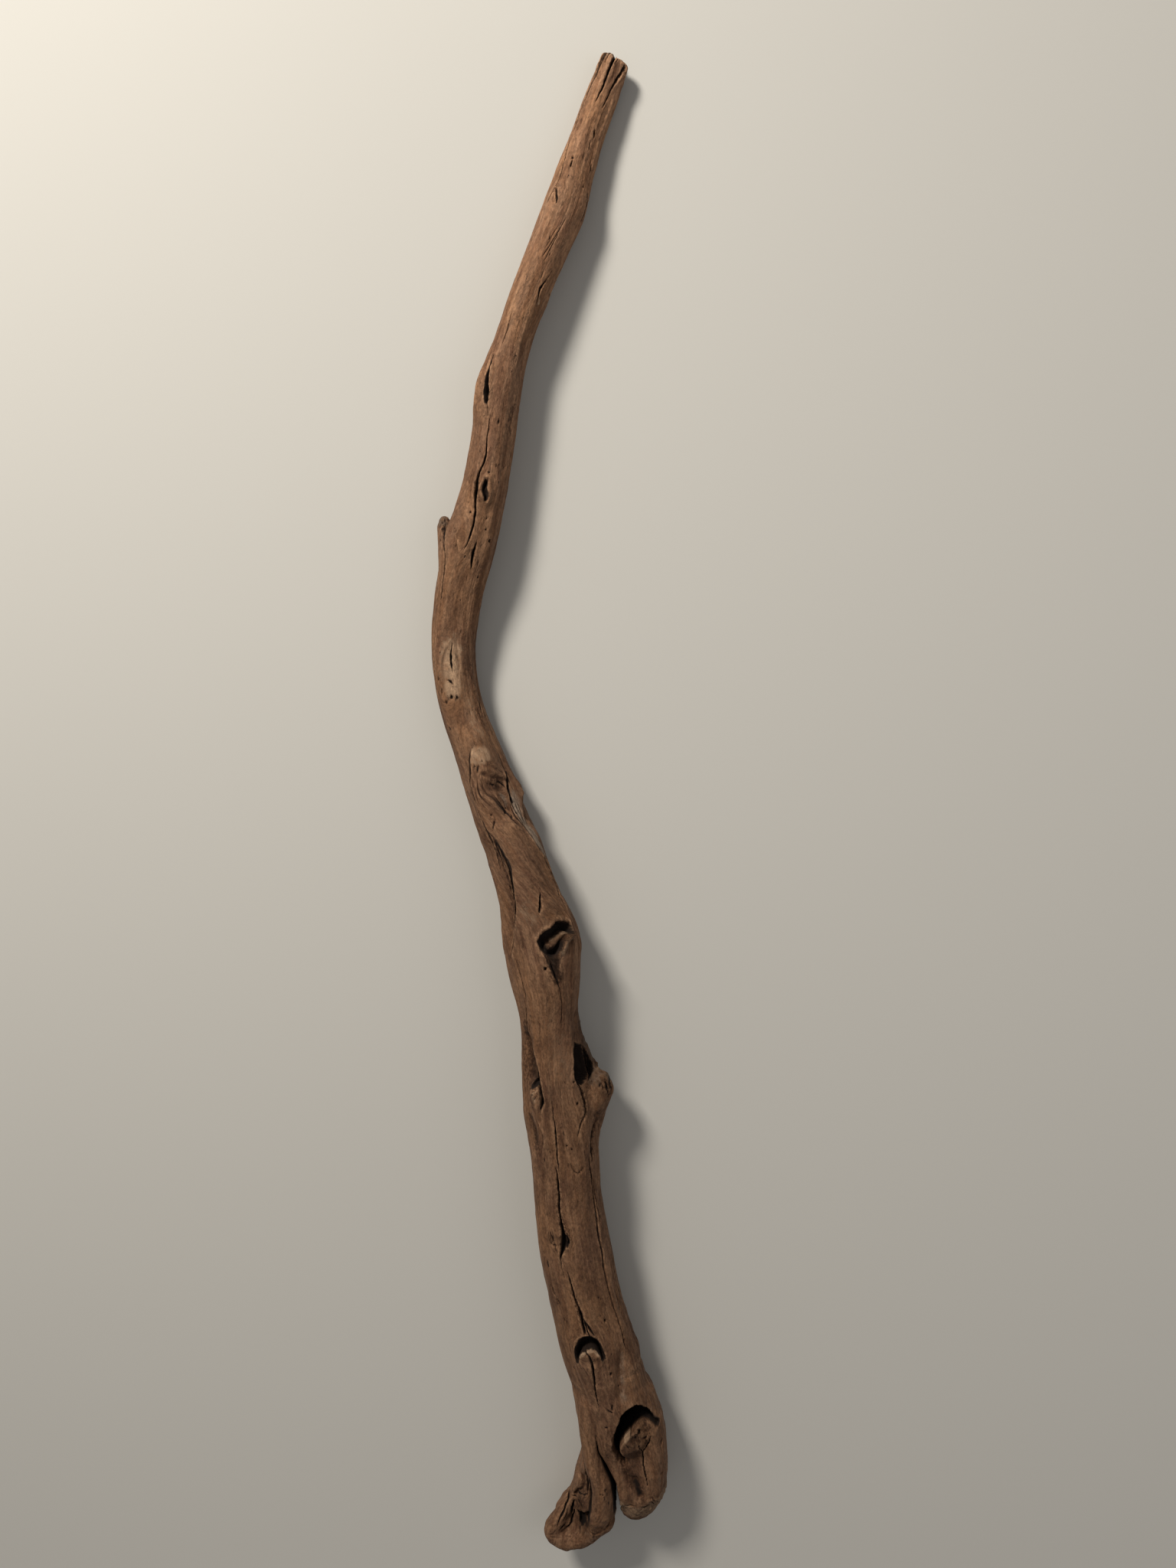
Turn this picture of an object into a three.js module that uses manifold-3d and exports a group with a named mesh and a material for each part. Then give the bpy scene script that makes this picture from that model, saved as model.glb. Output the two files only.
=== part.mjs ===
// A long weathered driftwood branch, lying on its back: a bent, twisted stem that forks at
// its thick end into a toe root and a heel root, with two broken-off side branches.
// Millimetres, +Z up. The foot points to -Y, the tip to +Y, and +X is to the right of
// someone who looks down on it with the tip at the top.

import * as THREE from 'three';
import { mergeVertices } from 'three/addons/utils/BufferGeometryUtils.js';
import Module from 'manifold-3d';

const wasm = await Module();
wasm.setup();

// Driving dimensions
const ORIGIN_ALONG = 864.2; // middle of the whole length, measured from the foot
const ORIGIN_ACROSS = -37.6; // middle of the whole width
const FORK_ALONG = 215; // where the stem ends and its two roots begin
const STEM_START = 165; // first ring of the stem's skin, inside the roots
const TIP_ALONG = 1745; // end of the tip
const TIP_ROUNDING = 11; // length over which the broken tip rounds off
const JOINT_GAP = 0.3; // space between two pieces that touch
const ROW_STEP = 17.5; // spacing of the stem's rings
const STEM_COLUMNS = 18;
const LIMB_COLUMNS = 12;
const LIMB_STEP = 14; // spacing of the rings on roots and stubs
const CRACK_RISE = 2.5; // how far a cutter stands out of the wood
const EDGE_CALM = 22; // degrees either side of the stem's left and right edges that stay calm

// One row is one station of the stem: along, across, half width, half depth, lift.
const STEM_STATIONS = [
  [150, 56.5, 45, 42, 3],
  [200, 44.5, 44, 43, 5],
  [255, 26.5, 45.5, 43, 8],
  [320, 9, 43, 42, 11],
  [390, -6, 43, 41, 13],
  [450, -15, 40, 39, 14],
  [500, -19, 40.5, 40, 15],
  [560, -28, 41, 40, 16],
  [620, -35.5, 37, 38, 18],
  [670, -41.5, 34, 37, 18],
  [715, -46, 40.5, 39, 17],
  [755, -52.5, 44.5, 39, 15],
  [810, -69.5, 35.5, 36, 13],
  [870, -90, 33, 33, 10],
  [930, -113.5, 29.5, 30, 6],
  [980, -136.5, 26.5, 27, 3],
  [1030, -155.5, 25, 25.5, 0],
  [1080, -164, 25, 25, -1],
  [1150, -159, 27, 26, 2],
  [1215, -144, 29, 27, 7],
  [1270, -129.5, 26, 26, 10],
  [1330, -119.5, 24.5, 24, 12],
  [1385, -113, 25, 24, 12],
  [1435, -99.5, 21, 22, 11],
  [1480, -84, 21.5, 23, 9],
  [1535, -62.5, 22.5, 23, 6],
  [1575, -47, 23.5, 22, 4],
  [1610, -37, 21.5, 20, 2],
  [1660, -21.5, 18, 17.5, 0],
  [1704, -6, 17.5, 16, -1],
  [1745, 8, 13.5, 13, 2],
];

// Swells and hollows of the stem. A path point is along and across, the latter in degrees
// round the stem from its top, positive to the right. Height is negative for a hollow.
const STEM_RELIEF = [
  { name: 'small upper knot', path: [[1582, -24]], reach: 14, height: 2.5 },
  { name: 'upper right bulge', path: [[1585, 75]], reach: 16, height: 2 },
  { name: 'left knot', path: [[1385, -50], [1362, -45]], reach: 15, height: 3.5 },
  { name: 'oval knot', path: [[1273, 14]], reach: 12, height: 2 },
  { name: 'swirl beside the stub', path: [[1215, -15]], reach: 18, height: 2.5 },
  { name: 'front lobe of the twist',
    path: [[985, 15], [950, 5], [920, -5], [880, 10], [840, 25], [800, 40]], reach: 16, height: 6 },
  { name: 'recess left of the twist',
    path: [[950, -50], [890, -58], [830, -42], [790, -50], [750, -70]], reach: 17, height: -9 },
  { name: 'swirl hollow', path: [[930, 30], [908, 26]], reach: 13, height: -7 },
  { name: 'grey hollow', path: [[945, 80], [910, 75], [890, 68]], reach: 14, height: -6 },
  { name: 'right ridge of the twist', path: [[890, 40], [846, 76], [808, 95]], reach: 9, height: 3 },
  { name: 'middle strand', path: [[735, 5], [700, 5], [650, 0], [610, 5]], reach: 18, height: 3.5 },
  { name: 'left hollow', path: [[690, -62], [640, -58], [600, -52], [540, -60]], reach: 16, height: -9 },
  { name: 'knot in the left hollow', path: [[591, -36]], reach: 9, height: 5 },
  { name: 'hollow above the knob', path: [[645, 88], [605, 72]], reach: 14, height: -6 },
  { name: 'broad front face', path: [[450, 20], [380, 15], [330, 20]], reach: 20, height: 2 },
  { name: 'arch knot', path: [[262, -8]], reach: 15, height: 3 },
  { name: 'soft fold towards the heel', path: [[250, 38], [215, 25]], reach: 10, height: -3 },
  { name: 'upper back hollow', path: [[1650, 150], [1500, 140]], reach: 9, height: -3 },
  { name: 'bend hollow', path: [[1250, 150], [1100, 130], [950, 150]], reach: 12, height: -4 },
  { name: 'back swell', path: [[830, 165]], reach: 22, height: 4 },
  { name: 'lower back hollow', path: [[700, -160], [500, 175], [300, -165]], reach: 15, height: -5 },
  { name: 'back knot', path: [[560, -135]], reach: 18, height: 5 },
  { name: 'right back hollow', path: [[430, 130], [330, 140]], reach: 14, height: -5 },
];

// Cracks in the stem. A row is along, across in degrees, width and depth.
const STEM_CRACKS = [
  { name: 'left tip fissure',
    path: [[1748, -62, 8, 13], [1718, -62, 6, 11], [1700, -54, 5, 9], [1660, -57, 4, 7], [1611, -38, 3, 5],
      [1593, -28, 1, 2]] },
  { name: 'middle tip fissure',
    path: [[1748, -8, 8, 14], [1727, -6, 6, 12], [1714, -2, 5, 10], [1699, 2, 4, 8], [1683, 1, 1, 2]] },
  { name: 'right tip fissure', path: [[1748, 46, 7, 13], [1720, 40, 5, 10], [1705, 33, 4, 8], [1686, 27, 1, 2]] },
  { name: 'left back tip fissure', path: [[1748, -128, 7, 10], [1690, -140, 4, 6], [1650, -145, 1, 2]] },
  { name: 'right back tip fissure', path: [[1748, 118, 7, 10], [1700, 128, 4, 7], [1660, 132, 1, 2]] },
  { name: 'right check', path: [[1516, 47, 1, 2], [1490, 41, 5, 8], [1478, 45, 1, 2]] },
  { name: 'left knot slit', path: [[1412, -42, 1, 2], [1392, -28, 5, 8], [1379, -23, 6, 9], [1366, -18, 1, 2]] },
  { name: 'long upper crack',
    path: [[1352, -5, 1, 2], [1329, -6, 3, 5], [1287, -14, 3.5, 7], [1269, -9, 3, 6], [1249, 2, 3, 7],
      [1231, 5, 3, 6], [1211, 1, 1, 2]] },
  { name: 'oval knot pit', path: [[1284, 9, 1, 2], [1277, 11, 5, 7], [1262, 15, 1, 2]] },
  { name: 'slit by the stub', path: [[1219, 16, 1, 2], [1206, 20, 5, 8], [1192, 23, 1, 2]] },
  { name: 'left edge of the twist',
    path: [[976, 3, 1, 3], [961, -13, 4, 7], [933, -34, 5, 9], [908, -32, 5, 9], [883, -29, 4, 7],
      [867, -28, 1, 2]] },
  { name: 'deep groove of the twist',
    path: [[886, -19, 2, 4], [868, -9, 5, 8], [845, -6, 7, 11], [821, -12, 9, 13], [797, -23, 9, 13],
      [773, -39, 7, 10], [748, -51, 2, 4]] },
  { name: 'knot hole',
    path: [[776, 4, 3, 5], [766, 20, 20, 16], [752, 28, 21, 17], [738, 24, 12, 11], [712, 26, 2, 4]] },
  { name: 'slit above the knot hole', path: [[818, 32, 1, 2], [804, 25, 5, 7], [789, 17, 1, 2]] },
  { name: 'edge of the left hollow',
    path: [[701, -32, 2, 3], [679, -35, 4, 7], [658, -40, 6, 9], [635, -30, 7, 11], [614, -20, 8, 12],
      [596, -19, 7, 12], [581, -18, 4, 8], [568, -23, 1, 2]] },
  { name: 'crack beside the knob', path: [[602, 50, 3, 6], [575, 54, 4, 8], [556, 52, 4, 8], [536, 34, 1, 2]] },
  { name: 'groove of the right strand',
    path: [[560, 80, 2, 4], [531, 69, 7, 8], [505, 57, 8, 8], [470, 54, 5, 6], [426, 56, 5, 6],
      [369, 53, 5, 6], [322, 54, 4, 5], [290, 56, 1, 2]] },
  { name: 'central crack',
    path: [[580, -1, 1, 2], [545, -4, 3, 7], [507, -6, 4, 9], [472, -9, 5, 11], [440, -9, 7, 13],
      [414, -8, 11, 16], [397, -16, 5, 9], [369, -15, 1, 3]] },
  { name: 'lower central crack',
    path: [[377, -9, 1, 3], [344, -5, 5, 9], [322, -1, 5, 10], [304, 1, 4, 8], [290, 2, 2, 4]] },
  { name: 'crack below the arch', path: [[278, -6, 5, 7], [252, -5, 4, 7], [236, -10, 3, 6], [205, -13, 2, 4]] },
  { name: 'cavity above the knob',
    path: [[666, 84, 4, 5], [645, 70, 12, 12], [622, 62, 20, 18], [604, 60, 22, 18], [590, 64, 8, 8]] },
  { name: 'long back crack', path: [[640, 150, 1, 2], [560, 158, 4, 8], [470, 150, 5, 9], [400, 160, 1, 2]] },
  { name: 'bend crack', path: [[1040, 100, 1, 2], [980, 115, 4, 7], [900, 125, 1, 2]] },
];

// Roots, strands and stubs. A row is across, along, height, half width and half depth.
const HEEL_BODY = [
  [34, 255, 47, 36, 36], [47, 215, 47, 41, 41], [57, 180, 45, 44, 42.5], [65, 155, 43, 43, 42],
  [73, 128, 41, 37.5, 41], [80, 104, 38, 33, 40.5], [83, 80, 36, 31, 39.5], [83.5, 61, 35, 28, 37.5],
  [80, 47, 36, 22, 31], [77, 38, 36, 12, 20],
];
const HEEL_STRAND = [
  [36, 200, 61, 15, 26], [40, 165, 64, 12, 22], [46, 138, 65, 10, 18], [53, 112, 64, 10, 16],
  [59, 90, 62, 10, 15], [62, 68, 58, 11, 16], [63, 50, 50, 9, 13],
];
const HEEL_KNOT = [
  [80, 122, 48, 14, 20], [79, 140, 54, 20, 25], [78, 156, 56, 22, 26], [77, 168, 54, 17, 21], [76, 176, 51, 8, 10],
];
const TOE_STRAND = [
  [16, 255, 48, 14, 24], [15, 215, 54, 17, 30], [15, 170, 58, 14.5, 29], [21, 143, 62, 13, 24],
  [29, 122, 64, 12, 21], [35, 105, 65, 12, 20], [38.5, 87, 65, 14, 20], [40, 67, 65, 15, 20],
  [40, 46, 63, 14, 19], [38, 30, 60, 11, 15], [37, 22, 58, 5, 8],
];
const TOE_SPLAY = [
  [17, 190, 40, 15, 33], [17, 150, 38, 13, 34], [21, 118, 36, 12, 33], [22, 96, 34, 14, 33],
  [21, 76, 31, 19, 32], [22, 52, 29, 24, 32], [14, 28, 27, 31, 29.5], [5, 8, 28, 35, 25], [3, -3, 30, 27, 17],
];
const TOE_RIM = [
  [-12, 34, 42, 9, 10], [-24, 19, 46, 12, 13], [-23, 1, 50, 14, 14], [-5, -4, 52, 14, 14],
  [12, -1, 54, 14, 14], [27, 9, 57, 14, 14], [38, 25, 61, 13, 13], [42, 42, 65, 9, 10],
];
const KNOB_BRANCH = [
  [-2, 500, 42, 16, 20], [6, 530, 44, 16, 18], [14, 562, 48, 15, 16], [20, 584, 51, 14.5, 14],
  [23, 596, 52, 12, 12], [24.5, 603, 52, 6, 6],
];
const KNOB_WEB = [
  [-15, 668, 36, 6, 14], [-12, 648, 35, 8, 15], [-5, 625, 36, 9, 15], [6, 605, 40, 8.5, 13], [13, 590, 44, 6, 9],
];
const STUB_BRANCH = [
  [-163, 1172, 32, 10, 13], [-170, 1196, 32, 11.5, 13], [-174, 1220, 32, 9.5, 11], [-175.5, 1236, 32, 7.5, 8],
  [-175.5, 1243, 32, 4, 4],
];

// Hollows cut into the roots and the stem: middle, radii and turn about the vertical.
const HEEL_CAVITY = { middle: [76, 170, 61], radii: [24, 42, 34], turn: 8 };
const HEEL_CRESCENT = [[54, 168, 74, 6, 12], [54, 145, 74, 6, 13], [59, 124, 73, 5, 11], [64, 110, 72, 3, 7]];
const HEEL_PIT = { middle: [80, 84, 74], radii: [5, 13, 13], turn: 10 };
const TOE_HOLLOW = { middle: [13, 41, 62], radii: [8, 13, 14], turn: -20 };
const ARCH_HOLLOW = { middle: [15, 286, 94], radii: [15, 15, 19], turn: 0 };
const ARCH_KNOT = { middle: [15, 270, 83], radii: [13, 14, 13], turn: 0 };

// The split between the two roots: along, across and width.
const FORK_SPLIT = [
  [225, 28, JOINT_GAP], [185, 28.5, JOINT_GAP], [156, 30, JOINT_GAP], [125, 41, 2.5],
  [87, 52, 3.5], [66, 53.5, 3.5], [45, 54, 5], [-20, 55, 9],
];
const FORK_SPLIT_DEPTH = 140;

// Folds and checks in the roots: across, along, height, width and depth.
const ROOT_FOLDS = [
  { name: 'outer toe fold', path: [[6, 74, 64, 2, 5], [-4, 50, 61, 5, 9], [-13, 30, 58, 5, 8], [-18, 20, 58, 2, 4]] },
  { name: 'middle toe fold', path: [[13, 76, 65, 2, 5], [7, 52, 62, 5, 9], [0, 32, 59, 5, 9], [-5, 20, 58, 2, 4]] },
  { name: 'inner toe fold', path: [[20, 112, 72, 2, 5], [22, 92, 70, 4, 9], [21, 68, 66, 6, 12], [16, 48, 62, 5, 10]] },
  { name: 'heel knot crack', path: [[78, 165, 84, 2, 5], [82, 140, 84, 3, 9], [88, 95, 78, 3, 7], [90, 84, 77, 1, 3]] },
];

const DEGREES = Math.PI / 180;
const UP = new THREE.Vector3(0, 0, 1);

/** Smooth curve through rows of numbers, keyed by a rising value for each row. */
class Rail {
  constructor(keys, rows) {
    this.keys = keys;
    this.rows = rows;
    this.slopes = rows.map((row, i) => row.map((_, c) => this.slope(i, c)));
  }

  slope(i, c) {
    const { keys, rows } = this;
    const last = rows.length - 1;
    const step = (k) => (rows[k + 1][c] - rows[k][c]) / (keys[k + 1] - keys[k]);
    if (i === 0) return step(0);
    if (i === last) return step(last - 1);
    const before = keys[i] - keys[i - 1];
    const after = keys[i + 1] - keys[i];
    return (after * step(i - 1) + before * step(i)) / (before + after);
  }

  at(key) {
    const { keys, rows, slopes } = this;
    let i = 0;
    while (i < keys.length - 2 && key > keys[i + 1]) i += 1;
    const span = keys[i + 1] - keys[i];
    const s = (key - keys[i]) / span;
    const startWeight = (1 + 2 * s) * (1 - s) ** 2;
    const endWeight = s * s * (3 - 2 * s);
    return rows[i].map((_, c) => rows[i][c] * startWeight + rows[i + 1][c] * endWeight
      + slopes[i][c] * span * s * (1 - s) ** 2 + slopes[i + 1][c] * span * s * s * (s - 1));
  }
}

/** Centre, side and outward directions of a section of a rail that puts out x, y, z first. */
function sectionFrame(rail, key) {
  const delta = 0.5;
  const point = (k) => new THREE.Vector3(...rail.at(k).slice(0, 3));
  const tangent = point(key + delta).sub(point(key - delta)).normalize();
  const side = new THREE.Vector3().crossVectors(tangent, UP).normalize();
  const outward = new THREE.Vector3().crossVectors(side, tangent);
  return { centre: point(key), side, outward };
}

const stemRail = new Rail(
  STEM_STATIONS.map((row) => row[0]),
  STEM_STATIONS.map(([along, across, width, depth, lift]) => [across, along, depth + lift, width, depth]),
);

/** Shortest distance from a point to a path, both on the unrolled surface. */
function distanceToPath(along, across, path, degree) {
  const local = path.map(([y, angle]) => {
    const turn = ((across - angle + 540) % 360) - 180;
    return new THREE.Vector2(y - along, -turn * degree);
  });
  if (local.length === 1) return local[0].length();
  let nearest = Infinity;
  for (let i = 0; i < local.length - 1; i += 1) {
    const run = local[i + 1].clone().sub(local[i]);
    const t = THREE.MathUtils.clamp(-local[i].dot(run) / run.lengthSq(), 0, 1);
    nearest = Math.min(nearest, local[i].clone().addScaledVector(run, t).length());
  }
  return nearest;
}

/** Height of the stem's wood over its plain section: long lobes, then swells and hollows. */
function stemRelief(along, across, radius) {
  const angle = across * DEGREES;
  const fromEdge = (Math.abs(across) - 90) / EDGE_CALM;
  const faceWeight = 1 - 0.85 * Math.exp(-(fromEdge ** 2));
  const lobes = 0.035 * Math.sin(3 * angle + along * 0.009) + 0.02 * Math.sin(5 * angle - along * 0.014);
  let height = radius * lobes;
  for (const form of STEM_RELIEF) {
    const distance = distanceToPath(along, across, form.path, radius * DEGREES);
    height += form.height * Math.exp(-((distance / form.reach) ** 2));
  }
  return height * faceWeight;
}

/** Point of the stem's skin. The underside is worn flat where it would pass below zero. */
function stemSkin(along, across, extra = 0) {
  const { centre, side, outward } = sectionFrame(stemRail, along);
  const [, , , width, depth] = stemRail.at(along);
  const fromRounding = Math.max(0, along - (TIP_ALONG - TIP_ROUNDING)) / TIP_ROUNDING;
  const taper = Math.sqrt(Math.max(0, 1 - fromRounding ** 2));
  const rise = stemRelief(along, across, (width + depth) / 2) + extra;
  const angle = across * DEGREES;
  const point = centre
    .addScaledVector(side, (width + rise) * taper * Math.sin(angle))
    .addScaledVector(outward, (depth + rise) * taper * Math.cos(angle));
  point.z = Math.max(0, point.z);
  return point;
}

/** Closed geometry from rings of points, with a fan over each end. */
function loft(rings) {
  const positions = [];
  const indices = [];
  const count = rings[0].length;
  for (const ring of rings) for (const p of ring) positions.push(p.x, p.y, p.z);
  for (let r = 0; r < rings.length - 1; r += 1) {
    for (let c = 0; c < count; c += 1) {
      const a = r * count + c;
      const b = r * count + ((c + 1) % count);
      indices.push(a, b, b + count, a, b + count, a + count);
    }
  }
  const addFan = (ring, first, flip) => {
    const middle = ring.reduce((sum, p) => sum.add(p), new THREE.Vector3()).divideScalar(count);
    const hub = positions.length / 3;
    positions.push(middle.x, middle.y, middle.z);
    for (let c = 0; c < count; c += 1) {
      const a = first + c;
      const b = first + ((c + 1) % count);
      indices.push(hub, flip ? b : a, flip ? a : b);
    }
  };
  addFan(rings[0], 0, true);
  addFan(rings[rings.length - 1], (rings.length - 1) * count, false);
  const geometry = new THREE.BufferGeometry();
  geometry.setAttribute('position', new THREE.Float32BufferAttribute(positions, 3));
  geometry.setIndex(indices);
  return geometry;
}

/** Solid of a closed geometry. */
function toSolid(geometry) {
  const bare = geometry.clone();
  bare.deleteAttribute('normal');
  bare.deleteAttribute('uv');
  const merged = mergeVertices(bare, 1e-4);
  const mesh = new wasm.Mesh({
    numProp: 3,
    vertProperties: new Float32Array(merged.attributes.position.array),
    triVerts: new Uint32Array(merged.index.array),
  });
  return new wasm.Manifold(mesh);
}

/** Geometry of a solid. */
function toGeometry(solid) {
  const mesh = solid.getMesh();
  const geometry = new THREE.BufferGeometry();
  geometry.setAttribute('position', new THREE.Float32BufferAttribute(mesh.vertProperties, 3));
  geometry.setIndex(new THREE.Uint32BufferAttribute(mesh.triVerts, 1));
  return geometry;
}

/** The stem's skin from inside the roots to the rounded tip, without cracks, grown by extra. */
function stemBody(extra = 0) {
  const roundingStart = TIP_ALONG - TIP_ROUNDING;
  const steps = Math.round((roundingStart - STEM_START) / ROW_STEP);
  const alongs = [];
  for (let r = 0; r <= steps; r += 1) alongs.push(THREE.MathUtils.lerp(STEM_START, roundingStart, r / steps));
  for (const part of [0.5, 0.8, 0.95]) alongs.push(roundingStart + TIP_ROUNDING * part);
  const rings = alongs.map((along) => {
    const ring = [];
    for (let c = 0; c < STEM_COLUMNS; c += 1) ring.push(stemSkin(along, (360 * c) / STEM_COLUMNS - 180, extra));
    return ring;
  });
  return toSolid(loft(rings));
}

/** A rounded limb through rows of across, along, height, half width and half depth. */
function limb(rows, columns = LIMB_COLUMNS) {
  const keys = [0];
  for (let i = 1; i < rows.length; i += 1) {
    const [x, y, z] = rows[i];
    const [px, py, pz] = rows[i - 1];
    keys.push(keys[i - 1] + Math.hypot(x - px, y - py, z - pz));
  }
  const rail = new Rail(keys, rows);
  const length = keys[keys.length - 1];
  const steps = Math.max(3, Math.round(length / LIMB_STEP));
  const rings = [];
  for (let r = 0; r <= steps; r += 1) {
    const key = (length * r) / steps;
    const { centre, side, outward } = sectionFrame(rail, key);
    const [, , , width, depth] = rail.at(key);
    const ring = [];
    for (let c = 0; c < columns; c += 1) {
      const angle = (2 * Math.PI * c) / columns - Math.PI;
      const point = centre.clone()
        .addScaledVector(side, width * Math.sin(angle))
        .addScaledVector(outward, depth * Math.cos(angle));
      point.z = Math.max(0, point.z);
      ring.push(point);
    }
    rings.push(ring);
  }
  return toSolid(loft(rings));
}

/** An egg-shaped solid for a hollow or a knot. */
function egg({ middle, radii, turn }) {
  const geometry = new THREE.SphereGeometry(1, 12, 8);
  geometry.scale(...radii);
  geometry.rotateZ(turn * DEGREES);
  geometry.translate(...middle);
  return toSolid(geometry);
}

/** A wedge that opens a crack: sections are a point, its outward and side directions, width and depth. */
function crackWedge(sections) {
  const rings = sections.map(({ point, outward, side, width, depth }) => {
    const open = (width / 2) * (1 + CRACK_RISE / depth);
    const rim = point.clone().addScaledVector(outward, CRACK_RISE);
    return [
      rim.clone().addScaledVector(side, open),
      point.clone().addScaledVector(outward, -depth),
      rim.clone().addScaledVector(side, -open),
    ];
  });
  return toSolid(loft(rings));
}

/** Sections of a wedge that follows the stem's skin. */
function stemCrack({ path }) {
  return crackWedge(path.map(([along, across, width, depth], i) => {
    const point = stemSkin(Math.min(along, TIP_ALONG - TIP_ROUNDING), across);
    const { centre } = sectionFrame(stemRail, Math.min(along, TIP_ALONG - TIP_ROUNDING));
    point.y += Math.max(0, along - (TIP_ALONG - TIP_ROUNDING));
    centre.y += Math.max(0, along - (TIP_ALONG - TIP_ROUNDING));
    const next = path[Math.min(i + 1, path.length - 1)];
    const last = path[Math.max(i - 1, 0)];
    const run = stemSkin(last[0], last[1]).sub(stemSkin(next[0], next[1])).normalize();
    const outward = point.clone().sub(centre);
    outward.addScaledVector(run, -outward.dot(run)).normalize();
    const side = new THREE.Vector3().crossVectors(outward, run);
    return { point, outward, side, width, depth };
  }));
}

/** Sections of a wedge that follows points on the roots, opening upwards. */
function rootFold({ path }) {
  const points = path.map(([across, along, height]) => new THREE.Vector3(across, along, height));
  return crackWedge(path.map(([, , , width, depth], i) => {
    const next = points[Math.min(i + 1, points.length - 1)];
    const last = points[Math.max(i - 1, 0)];
    const run = last.clone().sub(next).normalize();
    const outward = UP.clone().addScaledVector(run, -UP.dot(run)).normalize();
    const side = new THREE.Vector3().crossVectors(outward, run);
    return { point: points[i], outward, side, width, depth };
  }));
}

/** Box with its lowest and highest corners. */
function block(low, high) {
  const geometry = new THREE.BoxGeometry(high[0] - low[0], high[1] - low[1], high[2] - low[2]);
  geometry.translate((low[0] + high[0]) / 2, (low[1] + high[1]) / 2, (low[2] + high[2]) / 2);
  return toSolid(geometry);
}

/** The sheet that splits the foot in two. */
function forkSheet() {
  const shape = new THREE.Shape();
  FORK_SPLIT.forEach(([along, across, width], i) => {
    if (i === 0) shape.moveTo(across + width / 2, along);
    else shape.lineTo(across + width / 2, along);
  });
  [...FORK_SPLIT].reverse().forEach(([along, across, width]) => shape.lineTo(across - width / 2, along));
  const geometry = new THREE.ExtrudeGeometry(shape, { depth: FORK_SPLIT_DEPTH, bevelEnabled: false });
  geometry.translate(0, 0, -10);
  return toSolid(geometry);
}

/** The largest of the bodies that a solid falls into. */
function mainBody(solid) {
  return solid.decompose().sort((a, b) => b.volume() - a.volume())[0];
}

const plainStem = stemBody();
const grownStem = stemBody(JOINT_GAP);

function makeStem() {
  let solid = plainStem.subtract(block([-300, 0, -50], [200, FORK_ALONG, 200]));
  solid = solid.subtract(egg(ARCH_HOLLOW)).add(egg(ARCH_KNOT).intersect(plainStem));
  for (const crack of STEM_CRACKS) solid = solid.subtract(stemCrack(crack));
  solid = solid.subtract(egg(HEEL_CAVITY));
  return mainBody(solid);
}

function makeRoots() {
  const lowerStem = plainStem.intersect(block([-200, 0, -50], [200, FORK_ALONG + LIMB_STEP, 200]));
  const shell = limb(HEEL_BODY, 16).add(limb(HEEL_STRAND)).add(lowerStem)
    .subtract(egg(HEEL_CAVITY)).subtract(limb(HEEL_CRESCENT, 8));
  let foot = shell.add(limb(HEEL_KNOT)).subtract(egg(HEEL_PIT));
  const toe = limb(TOE_STRAND).add(limb(TOE_SPLAY, 16)).add(limb(TOE_RIM, 10)).subtract(egg(TOE_HOLLOW));
  foot = foot.add(toe);
  for (const fold of ROOT_FOLDS) foot = foot.subtract(rootFold(fold));
  foot = foot.subtract(block([-200, FORK_ALONG - JOINT_GAP, -50], [200, 400, 200])).subtract(forkSheet());
  const parts = foot.decompose().sort((a, b) => b.volume() - a.volume()).slice(0, 2);
  const middleAcross = (part) => {
    const { min, max } = part.boundingBox();
    return (min[0] + max[0]) / 2;
  };
  const [toeRoot, heelRoot] = parts.sort((a, b) => middleAcross(a) - middleAcross(b));
  return { toeRoot, heelRoot };
}

/** A side branch, cut back from the stem by the joint gap. */
function makeBranch(solid) {
  return mainBody(solid.subtract(grownStem));
}

const wood = (colour, roughness) => new THREE.MeshStandardMaterial({ color: colour, roughness, metalness: 0 });

function piece(name, solid, material) {
  const mesh = new THREE.Mesh(toGeometry(solid), material);
  mesh.name = name;
  return mesh;
}

const { toeRoot, heelRoot } = makeRoots();
const group = new THREE.Group();
group.add(
  piece('stem', makeStem(), wood(0x8e6f5a, 0.8)),
  piece('toe_root', toeRoot, wood(0x7d604c, 0.85)),
  piece('heel_root', heelRoot, wood(0x84664f, 0.85)),
  piece('branch_knob', makeBranch(limb(KNOB_BRANCH).add(limb(KNOB_WEB))), wood(0x7a5c49, 0.85)),
  piece('side_stub', makeBranch(limb(STUB_BRANCH)), wood(0x947560, 0.8)),
);
group.position.set(-ORIGIN_ACROSS, -ORIGIN_ALONG, 0);

export default group;
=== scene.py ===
"""A long weathered driftwood branch, lying on its back, ready for the camera.

The wood's own sizes are in millimetres, measured from the foot: along runs from the foot to the
tip, across is to the right of someone who looks down with the tip at the top, and height is
above the floor. The scene is in metres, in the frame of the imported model.
"""

import logging
import math
from dataclasses import dataclass
from enum import Enum
from itertools import product
from typing import Callable, Sequence

import bpy
import numpy as np
from mathutils import Matrix, Vector


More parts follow.
